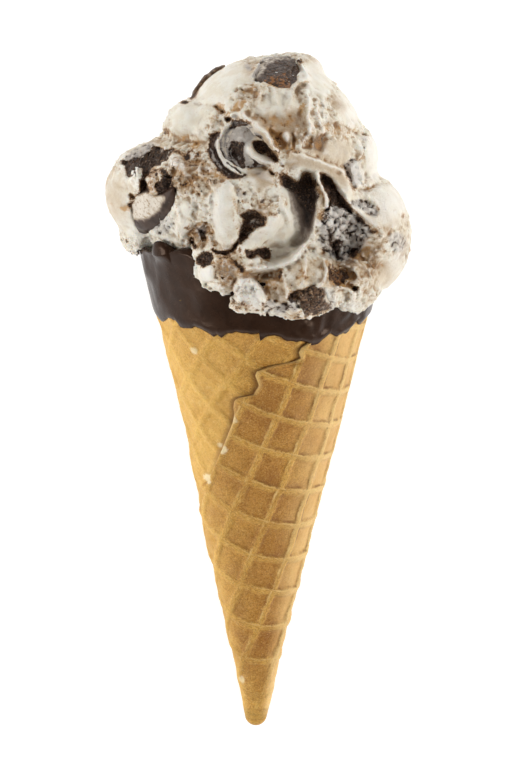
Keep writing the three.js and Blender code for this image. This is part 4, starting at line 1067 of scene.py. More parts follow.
R.patch([(174, 188), (175, 198), (173, 207), (168, 216), (160, 223), (151, 228), (143, 229), (136, 226), (132, 218), (133, 206), (139, 197), (150, 194), (160, 196),
         (166, 190)], -1.8, 1.5)
R.patch([(255, 281), (272, 279), (286, 285), (286, 299), (277, 306), (263, 306), (258, 295)], 2.0, 3)
R.a *= 0.95
GR.spots([(300, 297), (306, 293), (309, 299), (318, 301), (313, 309), (322, 307), (305, 312), (325, 299)], 2.6, 0.9)
for c in ((304, 296), (311, 294), (318, 297), (308, 304), (316, 306), (323, 304), (312, 312), (303, 309)):
    R.dome(c, (4.2, 3.4), 1.3, 40 * (c[0] % 5), 0.6)
for _ in range(2):                                       # melted, not cut, edges of the dark parts
    k = 2
    DK.a = sum(np.roll(DK.a, (dy, dx), (0, 1)) for dy in range(-k, k + 1) for dx in range(-k, k + 1)) / (2 * k + 1) ** 2
DK.a *= 1.18
for mp, k, g in ((TP, 5, 1.12), (OB, 3, 1.12), (GR, 2, 1.05)):
    for _ in range(2):
        mp.a = sum(np.roll(mp.a, (dy, dx), (0, 1)) for dy in range(-k, k + 1) for dx in range(-k, k + 1)) / (2 * k + 1) ** 2
    mp.a *= g
A.a += 0.11 * sstep(0.18, 0.30, A.a)                     # the smooth places stay smooth
TP.spot((394, 238), (24, 60), 0.34, 6)                   # outer sides duller: painted shade
TP.spot((114, 200), (18, 42), 0.46, 0)
OB.spots([(108, 186), (112, 204), (110, 222), (120, 236)], 5.5, 0.30)
TP.spot((372, 100), (14, 30), 0.15, -30)
DK.spots([(214, 246), (218, 252), (224, 254), (231, 256), (236, 252), (208, 262), (214, 266), (228, 258), (234, 248), (240, 250), (236, 262)], 2.2, 0.55)
DK.spots([(262, 308), (270, 310), (278, 309), (284, 306), (256, 310), (246, 310), (290, 302)], 2.0, 0.6)
GR.patch([(262, 304), (286, 304), (284, 314), (264, 314)], 0.6, 3)
DK.patch([(199, 252), (206, 250), (212, 253), (211, 261), (203, 266), (198, 262)], 0.5, 3)
CAP = Map(0.0, 1)       # cream over the chocolate disc
CAP.patch([(131, 221), (130, 208), (133, 198), (141, 191), (149, 191), (157, 194), (164, 195), (163, 204), (157.5, 213), (149, 219), (140, 221)], 1.0, 4.0)
CAP.ridge([(166, 194), (170, 204), (165, 214), (157, 221)], 1.2, 0.22)

# film on the top piece, and its glossy lower part
GR.patch([(250, 77), (256, 68), (262, 60), (275, 57), (291, 57.5), (291, 60.5), (280, 61), (268, 65), (263, 73), (257, 79)], 0.95, 2.6)
OB.patch([(262, 85), (267, 77), (276, 75), (284, 73), (289, 76), (290, 86), (284, 89), (276, 88), (268, 85)], 1.0, 3.0)
GR.ridge([(284, 62), (290, 70), (291, 78)], 1.5, 0.6)

# ridges down the left cookie chunk, with pale film lines along them that also serve as painted highlights
for k in range(11):
    R.ridge([(126 + 4 * k, 180 - 2.3 * k), (131 + 4 * k, 171 - 2.0 * k), (134 + 4 * k, 160 - 0.9 * k)], 1.9, 0.55 - 0.9 * (k % 2), 1.2)
    GR.ridge([(127 + 4 * k, 178 - 2.3 * k), (131.5 + 4 * k, 171 - 2.0 * k), (134 + 4 * k, 161 - 0.9 * k)], 1.1, 0.5)
GR.patch([(119, 163), (126, 157), (138, 154), (146, 150), (150, 152), (142, 158), (130, 162), (124, 170)], 0.6, 3.5)

# ============================================================ pieces
# node: outline, height over the lobes' surface, tilt (mm per px in x and y), thickness, roughness, pivot
SHAPES = {
    "cookie_sliver_upper_left": dict(
        line=[(190.5, 101), (192.5, 96), (196, 88), (200.5, 81), (206, 76.5), (209.5, 74.2), (213, 70.5), (218, 67.3), (223.5, 65.6), (223, 70), (217, 74),
              (211, 79), (205, 85), (200, 92), (196, 101)],
        up=0.0, tilt=(0.0, 0.0), at=(205, 82), thick=14.0, level=53.0, rough=0.30, dome=0.6, follow=0.0, grow=0.1),
    "cookie_chunk_top": dict(
        line=[(254, 82), (257, 74), (261, 66), (267, 60), (275, 57.5), (286, 58), (293, 60), (298, 65), (300, 72), (299, 79), (296, 84), (290, 88), (285, 90),
              (278, 89), (271, 85.5), (264, 84.5), (258, 86)],
        up=0.5, tilt=(0.0, -0.085), at=(277, 73), thick=5.0, rough=0.34, dome=1.0, follow=0.35, crag=0.45),
    "cookie_disc_centre": dict(
        line=[(244, 122), (236, 121.5), (227, 124), (219, 130), (213.5, 138), (211, 148), (212, 157), (216, 164.5), (223, 171), (231, 177), (241, 179), (250, 172), (262, 166),
              (270, 158), (272, 148), (266, 138), (256, 128)],
        up=-0.5, tilt=(-0.012, 0.0), at=(240, 150), thick=3.0, rough=0.16, dome=0.5),
    "cookie_chunk_mid": dict(
        line=[(299, 176), (302, 170), (308, 167.5), (315, 170), (321, 172.5), (328, 176), (335, 184), (341, 193), (347, 202), (353, 211), (346, 211), (338, 208),
              (331, 211), (324, 209), (318, 212), (310, 214), (302, 206), (295, 196), (289, 188), (288, 181), (294, 180)],
        up=-1.7, tilt=(0.0, 0.012), at=(318, 190), thick=4.0, rag=2, rough=0.55, dome=0.6),
    "cookie_chunk_left": dict(
        line=[(121, 160), (130, 159.5), (138, 157), (144, 155), (150, 150.5), (153, 147.5), (160, 148.5), (168, 151), (168, 158), (162, 162), (157, 166), (151, 170),
              (147, 178), (140, 182), (131, 180), (127, 177), (123, 168)],
        up=-0.4, tilt=(0.0, 0.0), at=(145, 163), thick=4.0, rag=2, rough=0.42, dome=0.6, crag=0.25, comb=(1.0, 0.35, 1.9, 0.6)),
    "chocolate_disc_left": dict(
        line=[(173, 188), (175.5, 196), (174, 205), (171.5, 212), (167.5, 218), (162.5, 222), (157, 226), (151, 229), (145, 230.5), (138.5, 228.5), (134, 224), (131.5, 218),
              (131.5, 209), (134, 200), (140, 193.5), (149, 192), (157, 195), (162, 194), (167, 190)],
        up=1.0, tilt=(0.0, 0.0), at=(155, 210), thick=5.0, rough=0.16, dome=2.4, follow=0.0, reach=3.4, rag=0),
    "cookie_chunk_inner": dict(
        line=[(241, 215), (248, 211), (258, 209.5), (265, 214), (268, 221), (264, 227), (257, 229.5), (251, 233), (247, 240), (241, 244), (238.5, 240), (240, 231), (245, 222)],
        up=-0.7, tilt=(0.0, 0.0), at=(254, 224), thick=3.5, rag=2, rough=0.55, dome=0.5),
    "cookie_chunk_right": dict(
        line=[(327, 267), (332, 263.5), (339, 265), (346, 269), (353, 274), (352, 281), (345, 285), (337, 285), (330, 281), (326.5, 275)],
        up=-0.7, tilt=(0.0, 0.0), at=(340, 274), thick=3.5, rag=2, rough=0.55, dome=0.6, crag=0.3),
    "cookie_chunk_low_right": dict(
        line=[(297, 292), (304, 289), (312, 290), (320, 288.5), (326, 294), (330, 303), (328, 310), (321, 314.5), (311, 318), (304, 317), (301, 309), (297, 303)],
        up=0.3, tilt=(0.0, 0.0), at=(314, 303), thick=4.0, rag=2, rough=0.62, dome=1.0, crag=0.35),
}


def paint(px, py, x, y, z, fr, crease=0.0, cid=0.5):
    """Masks of the cream's colours at the given points. fr is 1 on the shown side and 0 elsewhere."""
    n1 = vnoise(x / 1.1, y / 1.1, z / 1.1, 601)
    n3 = fbm(x / 2.6, y / 2.6, z / 2.6, 605, 2)
    n4 = fbm(x / 6.5, y / 6.5, z / 6.5, 607, 2)
    bk = 1 - fr
    rg = sstep(0.05, 0.40, A.sample(px, py)) * fr + bk
    rg = 0.3 + 0.7 * rg
    patchy = sstep(0.10, 0.42, fbm(x / 10, y / 10, z / 10, 611, 2))
    veins = 1 - np.abs(fbm(x / 9, y / 9, z / 9, 613, 2)) * 5
    dk = DK.sample(px, py) * fr + bk * (1.0 * patchy * sstep(-0.1, 0.3, n3 + 0.4 * n1))
    tp = TP.sample(px, py) * fr + bk * (0.15 + 0.45 * patchy + 0.3 * np.clip(veins, 0, 1)) + (0.14 * n4 + 0.34 * n3 + 0.16 * n1) * rg
    gy = GR.sample(px, py) * fr + bk * 0.6 * sstep(0.2, 0.5, fbm(x / 8, y / 8, z / 8, 617, 2))
    ob = OB.sample(px, py) * fr * (1 + 0.9 * n3 + 0.5 * n1) + bk * 0.7 * sstep(0.3, 0.55, fbm(x / 7, y / 7, z / 7, 619, 2))
    white_and_highlight = WHITE_AND_HIGHLIGHT.sample(px, py) * fr
    some = sstep(-0.15, 0.35, n4)
    # the lumps' creases tinted taupe, gold and dark: painted crease shade, partly crumb stain
    tp = tp + 0.15 * crease * (0.4 + 0.6 * some)
    ob = ob + 0.25 * crease * sstep(0.45, 0.75, cid) * sstep(0.0, 0.4, n3)
    dk = dk + 0.15 * crease * sstep(0.55, 0.25, cid) * sstep(0.15, 0.5, n4)
    sp = SP.sample(px, py) * fr + bk * (0.12 + 0.4 * patchy)
    return {"dk": np.clip(dk, 0, 1.3), "tp": np.clip(tp, 0, 1.7), "gy": np.clip(gy, 0, 1), "ob": np.clip(ob, 0, 1), "white_and_highlight": np.clip(white_and_highlight, 0, 1),
            "sp": np.clip(sp, 0, 1), "hollow_shade": np.clip(HOLLOW_SHADE.sample(px, py) * fr, 0, 1.2)}


def lumps(x, y, z):
    """Lumps of cream of some 4 mm: how near a point is to a crease, and a number for each lump."""
    wx = 1.3 * vnoise(x / 4, y / 4, z / 4, 571) + 0.5 * vnoise(x / 1.6, y / 1.6, z / 1.6, 573)
    wy = 1.3 * vnoise(x / 4, y / 4, z / 4, 572) + 0.5 * vnoise(x / 1.6, y / 1.6, z / 1.6, 574)
    f1, f2, cid = cells((x + wx) / 4.4, (y + wy) / 4.4, z / 4.4, 577)
    return 1 - sstep(0.0, 0.26, f2 - f1), cid


def torn(x, y, z):
    """The relief of torn, half-frozen cream: ragged crests and rounded hollows, in units of the roughness."""
    wx, wy = vnoise(x / 2.6, y / 2.6, z / 2.6, 51) * 1.1, vnoise(x / 2.6, y / 2.6, z / 2.6, 52) * 1.1
    a = 1 - 2.4 * np.abs(vnoise((x + wx) / 3.0, (y + wy) / 3.0, z / 3.0, 53))
    b = 1 - 2.4 * np.abs(vnoise((x + wx) / 1.45, (y + wy) / 1.45, z / 1.45, 54))
    c = vnoise(x / 0.85, y / 0.85, z / 0.85, 55)
    d = vnoise(x / 0.5, y / 0.5, z / 0.5, 56)
    return 0.85 * a + 0.80 * b * (0.55 + 0.45 * a) + 0.62 * c + 0.32 * d


def ice_field():
    h = 0.4
    x0, y0, z0 = -51.2, 9.6, -0.8
    nx, ny, nz = 249, 242, 230
    # lobes on a coarse grid
    H = 0.8
    cx = x0 - 3 + np.arange(134) * H
    cy = y0 - 3 + np.arange(132) * H
    cz = z0 - 8 + np.arange(140) * H
    X, Y, Z = np.meshgrid(cx.astype(F), cy.astype(F), cz.astype(F), indexing="ij")
    base = lobes_field(X, Y, Z).astype(F)
    flat = base.ravel()
    s0, s1 = base.shape[1] * base.shape[2], base.shape[2]

    def tri(fx, fy, fz):
        i = np.clip(fx.astype(np.int32), 0, base.shape[0] - 2)
        j = np.clip(fy.astype(np.int32), 0, base.shape[1] - 2)
        k = np.clip(fz.astype(np.int32), 0, base.shape[2] - 2)
        u, v, w = fx - i, fy - j, fz - k
        o = i * s0 + j * s1 + k
        a = flat[o] * (1 - w) + flat[o + 1] * w
        b = flat[o + s1] * (1 - w) + flat[o + s1 + 1] * w
        c = flat[o + s0] * (1 - w) + flat[o + s0 + 1] * w
        e = flat[o + s0 + s1] * (1 - w) + flat[o + s0 + s1 + 1] * w
        return (a * (1 - v) + b * v) * (1 - u) + (c * (1 - v) + e * v) * u

    xs = (x0 + np.arange(nx) * h).astype(F)
    ys = (y0 + np.arange(ny) * h).astype(F)
    zs = (z0 + np.arange(nz) * h).astype(F)
    d = np.empty((nx, ny, nz), F)
    for a in range(0, nx, 32):                          # in slices, to keep the arrays small
        X, Y, Z = np.meshgrid(xs[a:a + 32], ys, zs, indexing="ij")
        ds = tri((X - cx[0]) / H, (Y - cy[0]) / H, (Z - cz[0]) / H)
        near = np.abs(ds) < 7.5
        xn, yn, zn = X[near], Y[near], Z[near]
        px, py = to_px(xn, yn, zn)
        fr = front(zn).astype(F)
        dn = tri((xn - cx[0]) / H, (yn - cy[0]) / H, (zn - R.sample(px, py) * fr - cz[0]) / H)
        back = 1 - sstep(16, 36, zn)
        q = fbm(xn / 13, yn / 13, zn / 13, 11, 2)
        q2 = fbm(xn / 16 + q, yn / 10 + q, zn / 16, 23, 2)
        dn = dn + back * (1.6 * q + 1.5 * np.abs(q2) * 2 - 0.3)
        band = np.abs(dn) < 2.6
        xb, yb, zb, fb = xn[band], yn[band], zn[band], fr[band]
        pxb, pyb = px[band], py[band]
        amp = A.sample(pxb, pyb) * fb + (0.28 + 0.35 * sstep(0.1, 0.5, vnoise(xb / 14, yb / 14, zb / 14, 31))) * (1 - fb)
        amp = np.clip(amp, 0.03, 1.4) * 1.05
        dd = dn[band] - 0.35 * fbm(xb / 5.2, yb / 5.2, zb / 5.2, 41, 2) - amp * (torn(xb, yb, zb) - 0.60)
        rg = sstep(0.20, 0.42, A.sample(pxb, pyb)) * fb + 0.8 * (1 - fb)
        crease, cid = lumps(xb, yb, zb)
        dd += rg * (0.20 * crease - 0.25 * (cid - 0.5) - 0.06)
        dkb = np.clip(DK.sample(pxb, pyb), 0, 1) * fb
        dd += 0.4 * dkb
        sel = dkb > 0.12                                # crumbled cookie
        if sel.any():
            c1, _, cid = cells(xb[sel] / 1.25, yb[sel] / 1.25, zb[sel] / 1.25, 73)
            dd[sel] += dkb[sel] * (0.9 * (c1 - 0.42) - 0.35 * (cid - 0.5))
        dn[band] = dd
        ds[near] = dn
        # nothing inside the cone's and the chocolate's place, but the filling inside them
        hh, phi, off = cone_coords(X, Y, Z)
        ds = np.maximum(ds, -np.maximum(off - 1.35, hh - rim_height(phi) - 1.2))
        inner = np.maximum(off + 5.2, hh - 178)
        ds = np.minimum(ds, np.maximum(inner, 150 - hh))
        d[a:a + 32] = np.maximum(ds, -Z)
    d[:, :, 0] = 1
    return d, h, (x0, y0, z0)


def front(z):
    return sstep(26, 42, z)


field, vox, org = ice_field()
print("field", round(time.time() - T0, 1), "s")
pts, quads = surface_nets(field, vox, org)
pts, quads = keep_largest(pts, quads)
del field


def relax(pts, quads, rounds=5):
    """Evens out the scooped places that the blade has left smooth."""
    px, py = to_px(pts[:, 0], pts[:, 1], pts[:, 2])
    w = 0.6 * sstep(0.26, 0.10, A.sample(px, py)) * front(pts[:, 2])
    ed = np.concatenate([quads[:, [0, 1]], quads[:, [1, 2]], quads[:, [2, 3]], quads[:, [3, 0]]])
    n = len(pts)
    cnt = np.bincount(ed[:, 0], minlength=n) + np.bincount(ed[:, 1], minlength=n)
    for _ in range(rounds):
        for k in range(3):
            acc = np.bincount(ed[:, 0], pts[ed[:, 1], k], n) + np.bincount(ed[:, 1], pts[ed[:, 0], k], n)
            pts[:, k] += w * (acc / np.maximum(cnt, 1) - pts[:, k])
    return pts


pts = relax(np.array(pts, float), quads)
print("ice cream mesh", len(pts), len(quads), round(time.time() - T0, 1), "s")
pts[:, 2] = np.maximum(pts[:, 2], 0.0)

# -- height of the cream over the view's plane, for what lies in it
HP = 1.5
hn, hm = int(RNX * RSTEP / HP) + 1, int(RNY * RSTEP / HP) + 1
hmap = np.full((hm, hn), -1e9)
ppx, ppy = to_px(pts[:, 0], pts[:, 1], pts[:, 2])
hi = ((ppx - RX0) / HP + 0.5).astype(int)
hj = ((ppy - RY0) / HP + 0.5).astype(int)
okp = (hi >= 0) & (hi < hn) & (hj >= 0) & (hj < hm) & (pts[:, 2] > 25)
np.maximum.at(hmap, (hj[okp], hi[okp]), pts[okp, 2])


def shift(a, dy, dx):
    return np.roll(np.roll(a, dy, 0), dx, 1)


for _ in range(8):                                       # fill the gaps
    hole = hmap < -1e8
    acc, cnt = np.zeros(hmap.shape), np.zeros(hmap.shape)
    for dy in (-1, 0, 1):
        for dx in (-1, 0, 1):
            s = shift(hmap, dy, dx)
            g = s > -1e8
            acc += np.where(g, s, 0); cnt += g
    hmap = np.where(hole & (cnt > 0), acc / np.maximum(cnt, 1), hmap)
hmap = np.where(hmap < -1e8, 30.0, hmap)
hsoft = hmap.copy()
for _ in range(4):
    hsoft = sum(shift(hsoft, dy, dx) for dy in (-1, 0, 1) for dx in (-1, 0, 1)) / 9


def cream_height(px, py, soft=True):
    a = hsoft if soft else hmap
    fx = np.clip((px - RX0) / HP, 0, hn - 1.001)
    fy = np.clip((py - RY0) / HP, 0, hm - 1.001)
    i, j = fx.astype(np.int32), fy.astype(np.int32)
    u, v = fx - i, fy - j
    return (a[j, i] * (1 - u) + a[j, i + 1] * u) * (1 - v) + (a[j + 1, i] * (1 - u) + a[j + 1, i + 1] * u) * v


ice = make_object("scoop", pts, quads)
co = get_co(ice)
no = get_normals(ice)
seen = sstep(24, 36, co[:, 2]) * sstep(-0.35, 0.05, no[:, 2])
decimate_to(ice, 197000, 1 - seen)
print("decimated", len(ice.data.polygons), round(time.time() - T0, 1), "s")
co = get_co(ice)
no = get_normals(ice)
px, py = to_px(co[:, 0], co[:, 1], co[:, 2])
fr = front(co[:, 2]) * sstep(-0.2, 0.2, no[:, 2])
bx, by, bz = [co[:, k].astype(F) for k in range(3)]
crease, lump_id = lumps(bx, by, bz)
rug = sstep(0.05, 0.40, A.sample(px, py)) * fr + (1 - fr) * 0.8      # how torn the surface is
tint = paint(px, py, bx, by, bz, fr, crease * sstep(0.2, 0.8, rug), lump_id)
na = fbm(bx / 1.05, by / 1.05, bz / 1.05, 701, 2)
nc = fbm(bx / 2.2, by / 2.2, bz / 2.2, 707, 2)


def curvature(ob, co, no, rounds=2):
    """Mean height of a vertex over its neighbours along the normal: crests above 0, creases below."""
    me = ob.data
    ed = np.empty(len(me.edges) * 2, np.int32)
    me.edges.foreach_get("vertices", ed)
    ed = ed.reshape(-1, 2)
    n = len(co)
    cnt = np.bincount(ed[:, 0], minlength=n) + np.bincount(ed[:, 1], minlength=n)
    acc = np.zeros((n, 3))
    for k in range(3):
        acc[:, k] = np.bincount(ed[:, 0], co[ed[:, 1], k], n) + np.bincount(ed[:, 1], co[ed[:, 0], k], n)
    c = ((co - acc / np.maximum(cnt, 1)[:, None]) * no).sum(1)
    for _ in range(rounds):
        c = (np.bincount(ed[:, 0], c[ed[:, 1]], n) + np.bincount(ed[:, 1], c[ed[:, 0]], n) + c) / (cnt + 1)
    return c


curv = curvature(ice, co, no, 1)
crest = np.clip(curv / 0.09, -1, 1)
crease_stain_and_shade = np.clip(-crest, 0, 1)
set_attr(ice, "rug", rug)
# taupe tint, with brown added in creases: painted crease shade, partly crumb stain
set_attr(ice, "tp", tint["tp"] + (0.26 * na + 0.26 * nc) * (0.25 + 0.75 * rug) + 0.28 * crease_stain_and_shade * rug)
set_attr(ice, "ob", tint["ob"] + 0.3 * na)
set_attr(ice, "gy", tint["gy"] + 0.2 * na + 0.1 * nc)
set_attr(ice, "white_and_highlight", tint["white_and_highlight"])
set_attr(ice, "hollow_shade", tint["hollow_shade"])
set_attr(ice, "sp", tint["sp"] * (0.3 + 0.7 * rug))
set_attr(ice, "dk", tint["dk"] + 0.24 * na + 0.1 * nc)
set_attr(ice, "crest", crest)
dark, specks = tint["dk"], tint["sp"]
print("ice cream done", round(time.time() - T0, 1), "s")


# ================================================================= PIECES =====
def slab_mesh(sp, seed):
    """A piece lying in the cream: an outline in the view's plane, its top following the cream or a plane."""
    h = 0.27
    line = smooth_line(np.vstack([sp["line"], sp["line"][:1]]), 4)[:-1]
    win, dist, _, _, _ = line_dist(line, 30, closed=True, rag=sp.get("rag", 1))
    sdm = Map(-12.0)
    sdm.a[win] = np.where(inside_mask(line, win, sp.get("rag", 1)), dist, -dist)
    p = np.asarray(line)
    zc = cream_height(p[:, 0].mean(), p[:, 1].mean())
    inside = inside_mask(line, (slice(None), slice(None)), 0)
    gx, gy = GX[inside], GY[inside]
    hz = cream_height(gx, gy)
    M = np.stack([np.ones(len(gx)), gx - gx.mean(), gy - gy.mean()], 1)
    plane = np.linalg.lstsq(M, hz, rcond=None)[0]
    if "level" in sp:
        plane, hz, zc = np.array([sp["level"], 0.0, 0.0]), np.array([sp["level"]]), sp["level"]
    xa, ya = mm(p[:, 0].min() - 5, p[:, 1].max() + 5, zc)
    xb, yb = mm(p[:, 0].max() + 5, p[:, 1].min() - 5, zc)
    zt, zb = hz.max() + sp["up"] + sp["dome"] + 2.0, hz.min() - sp["thick"] - 2.0
    X, Y, Z = [a.astype(F) for a in np.meshgrid(np.arange(xa, xb, h), np.arange(ya, yb, h), np.arange(zb, zt, h), indexing="ij")]
    px, py = to_px(X, Y, Z)
    sd = sdm.sample(px, py) * 0.287                      # mm inside the outline
    flat = plane[0] + plane[1] * (px - gx.mean()) + plane[2] * (py - gy.mean())
    follow = sp.get("follow", 1.0)
    top = cream_height(px, py) * follow + flat * (1 - follow)
    tx, ty = sp["tilt"]
    top = top + sp["up"] + tx * (px - sp["at"][0]) + ty * (py - sp["at"][1])
    reach = sp.get("reach", 2.5)
    top = top + sp["dome"] * (np.sqrt(np.clip(sd / reach, 0, 1)) - 0.5) - 2.2 * sstep(0.15, -0.7, sd)
    if "crag" in sp:                                     # broken faces
        u1, u2, uc = cells(X[:, :, 0] / 3.0 + seed, Y[:, :, 0] / 3.0, X[:, :, 0] * 0, seed + 5)
        slope = (uc - 0.5) * (X[:, :, 0] / 3.0) % 1.0
        top = top + sp["crag"] * ((uc - 0.5) * 1.6 + 0.5 * (u2 - u1) + 0.5 * slope)[:, :, None]
    if "comb" in sp:                                     # grooves dragged across the face
        cx, cy, per, hgt = sp["comb"]
        line_at = (px * cx + py * cy) / per
        top = top + hgt * (1 - 2.2 * np.abs(vnoise(line_at, py / 16, px * 0, seed + 7))) - 0.3 * hgt
    d = smax(Z - top, -(sd + sp.get("grow", 0.9)), 0.7)
    d = smax(d, (plane[0] + plane[1] * (px - gx.mean()) + plane[2] * (py - gy.mean()) - sp["thick"]) - Z, 0.8)
    r = sp["rough"]
    if r > 0.2:
        f1, f2, _ = cells(X / 1.7 + seed, Y / 1.7, Z / 1.7, seed)
        d = d + r * (0.7 * (f1 - 0.45) + 1.1 * fbm(X / 1.4, Y / 1.4, Z / 1.4, seed + 3, 3, 0.6) + 0.8 * vnoise(X / 3.3, Y / 3.3, Z / 3.3, seed + 9))
    else:
        d = d + r * (0.9 * fbm(X / 2.6, Y / 2.6, Z / 2.6, seed + 3, 2, 0.5) + 0.9 * vnoise(X / 4.5, Y / 4.5, Z / 4.5, seed + 9))
    d[0], d[-1], d[:, 0], d[:, -1], d[:, :, 0], d[:, :, -1] = 1, 1, 1, 1, 1, 1
    p, q = surface_nets(d.astype(F), h, (xa, ya, zb))
    return keep_largest(p, q) + (sdm,)


piece_obs = {}
for n, (name, sp) in enumerate(SHAPES.items()):
    p, q, sdm = slab_mesh(sp, 100 + 11 * n)
    ob = make_object(name + "_piece", p, q)
    decimate_to(ob, 17000)
    pco, pno = get_co(ob), get_normals(ob)
    ppx, ppy = to_px(pco[:, 0], pco[:, 1], pco[:, 2])
    up = sstep(-0.1, 0.3, pno[:, 2])
    film = np.clip(GR.sample(ppx, ppy) + 0.8 * WHITE_AND_HIGHLIGHT.sample(ppx, ppy) + 0.35 * TP.sample(ppx, ppy) - 0.7 * DK.sample(ppx, ppy), 0, 1) * up
    if name == "cookie_disc_centre":                     # cream drawn out round the curl
        rr, an = np.hypot(ppx - 262, (ppy - 148) * 1.15), np.arctan2(ppy - 148, ppx - 262)
        film = film * 0.90 + 0.75 * fbm(rr / 2.6, an * 4.0, rr * 0, 915, 3) * up
    if name == "cookie_chunk_left":                      # dragged by the scoop into streaks, which also serve as painted highlights on its striations
        film = film * 0.80 - 0.30 + 1.5 * fbm((ppx + 0.35 * ppy) / 1.5, ppy / 9, ppx * 0, 917, 2) * up
    if name == "chocolate_disc_left":
        film = np.clip(CAP.sample(ppx, ppy), 0, 1) * up
    elif name != "cookie_chunk_top":                     # cream smeared over the edges
        film = film + 0.55 * sstep(5.0, 0.5, sdm.sample(ppx, ppy)) * sstep(-0.25, 0.35, fbm(*(pco.T.astype(F) / 2.4), 907, 2))
    set_attr(ob, "film", film + 0.15 * fbm(*(pco.T.astype(F) / 1.6), 905, 2))
    set_attr(ob, "warm", np.clip(OB.sample(ppx, ppy), 0, 1) * up)
    crest_p = np.clip(curvature(ob, pco, pno, 1) / 0.06, -1, 1)
    if name == "cookie_chunk_top":                       # painted shade along its base, on the left and below
        crest_p = crest_p - 1.3 * sstep(4.0, 0.5, sdm.sample(ppx, ppy)) * sstep(-0.1, 0.5, (ppy - 76) / 12 + (264 - ppx) / 26)
    set_attr(ob, "crest", np.clip(crest_p, -1.2, 1))
    piece_obs[name] = ob
    print(name, len(ob.data.polygons), pco.min(0).round(1), pco.max(0).round(1))
print("pieces done", round(time.time() - T0, 1), "s")

# ================================================================= CRUMBS =====
rng = np.random.RandomState(7)


def rock(nsub):
    """A unit sphere from an octahedron, each face split nsub times."""
    v = [(1, 0, 0), (-1, 0, 0), (0, 1, 0), (0, -1, 0), (0, 0, 1), (0, 0, -1)]
    f = [(0, 2, 4), (2, 1, 4), (1, 3, 4), (3, 0, 4), (2, 0, 5), (1, 2, 5), (3, 1, 5), (0, 3, 5)]
    v = [np.array(p, float) for p in v]
    for _ in range(nsub):
        mid, nf = {}, []

        def m(a, b):
            k = (min(a, b), max(a, b))
            if k not in mid:
                p = v[a] + v[b]
                v.append(p / np.linalg.norm(p)); mid[k] = len(v) - 1
            return mid[k]
        for a, b, c in f:
            x, y, z = m(a, b), m(b, c), m(c, a)
            nf += [(a, x, z), (x, b, y), (z, y, c), (x, y, z)]
        f = nf
    return np.array(v), np.array(f)


me = ice.data
tri_v = np.empty(len(me.polygons) * 3, np.int32)
me.polygons.foreach_get("vertices", tri_v)
tri_v = tri_v.reshape(-1, 3)
pa, pb, pc = co[tri_v[:, 0]], co[tri_v[:, 1]], co[tri_v[:, 2]]
area = 0.5 * np.linalg.norm(np.cross(pb - pa, pc - pa), axis=1)
dens = np.clip(dark - 0.12, 0, 1.0)[tri_v].mean(1) ** 1.5 + 0.03 * np.clip(specks - 0.1, 0, 1)[tri_v].mean(1) * (1 - 0.8 * tint["white_and_highlight"][tri_v].mean(1))
low = curv[tri_v].mean(1)
clump = 0.35 + 1.3 * sstep(0.0, 0.5, fbm(pa[:, 0] / 2.6, pa[:, 1] / 2.6, pa[:, 2] / 2.6, 91, 2))
rim = 1 - 0.93 * sstep(0.45, 0.15, np.abs(no[tri_v[:, 0], 2])) * (pa[:, 2] > 26)
weight = area * dens * clump * (1 + 1.0 * sstep(0.02, -0.06, low)) * (pa[:, 2] > 1.0) * rim
weight /= weight.sum()
coarse = weight * sstep(0.30, 0.60, dark[tri_v].mean(1))
coarse /= coarse.sum()
ROCKS = [rock(1), rock(2)]
crumb_v, crumb_f, base = [], [], 0


def scatter(count, lo, hi, power, nsub, sink, share):
    global base
    pick = rng.choice(len(share), count, p=share)
    u, v = rng.rand(count), rng.rand(count)
    sw = u + v > 1
    u[sw], v[sw] = 1 - u[sw], 1 - v[sw]
    pos = pa[pick] + u[:, None] * (pb[pick] - pa[pick]) + v[:, None] * (pc[pick] - pa[pick])
    nrm = np.cross(pb[pick] - pa[pick], pc[pick] - pa[pick])
    nrm /= np.linalg.norm(nrm, axis=1)[:, None] + 1e-12
    size = lo + (hi - lo) * rng.rand(count) ** power
    rv, rf = ROCKS[nsub - 1]
    for k in range(count):
        g = rv * (1 + 0.28 * rng.randn(len(rv), 1)).clip(0.5, 1.5)
        g = g * (size[k] * rng.uniform(0.6, 1.25, 3))
        qn = rng.normal(size=(3, 3)); qq, _ = np.linalg.qr(qn)
        g = g @ qq.T + pos[k] + nrm[k] * size[k] * sink
        crumb_v.append(g); crumb_f.append(rf + base); base += len(rv)


scatter(3200, 0.09, 0.28, 1.6, 1, 0.0, weight)
scatter(460, 0.25, 0.75, 2.2, 2, -0.15, coarse)
cv, cf = np.concatenate(crumb_v), np.concatenate(crumb_f)
cv[:, 2] = np.maximum(cv[:, 2], 0.0)
crumbs = make_object("cookie_crumbs", cv, cf, smooth=False)
print("crumbs", len(cf), round(time.time() - T0, 1), "s")

# ================================================================ WAFFLE CONE ==
SEAM = np.array([  # place of the outer sheet's edge: distance from the apex, angle from the top
    (0, -190), (20, -181.6), (41, -153), (61, -123.6), (81.8, -93.4), (90, -80), (97.6, -68.4), (102.4, -48.9), (109, -36.9), (114.7, -28.8),
    (119.2, -23.8), (123.9, -19.3), (127.1, -17.5), (129.6, -17.9), (132.1, -16.5), (133.4, -13.2), (133.8, -8.7), (134.2, -4.3),
    (135.9, -2.6), (137.4, -0.7), (138.8, -1.4), (141, -3), (142.5, -1.9), (143.3, 2.2), (144.1, 6.6), (144.6, 11.8), (144.9, 16.3),
    (145.5, 20.4), (146.3, 23.6), (148.3, 22.2), (149.9, 22.9), (150.8, 25.2), (151.4, 27.3), (153.4, 31), (158, 38), (170, 52), (190, 70)])


def seam_phi(s):
    return np.radians(np.interp(s, SEAM[:, 0], SEAM[:, 1]))


def seam_smooth(s):
    return (rad(46) - np.arccos(np.clip(s / 198.0, 0, 0.999))) / SB


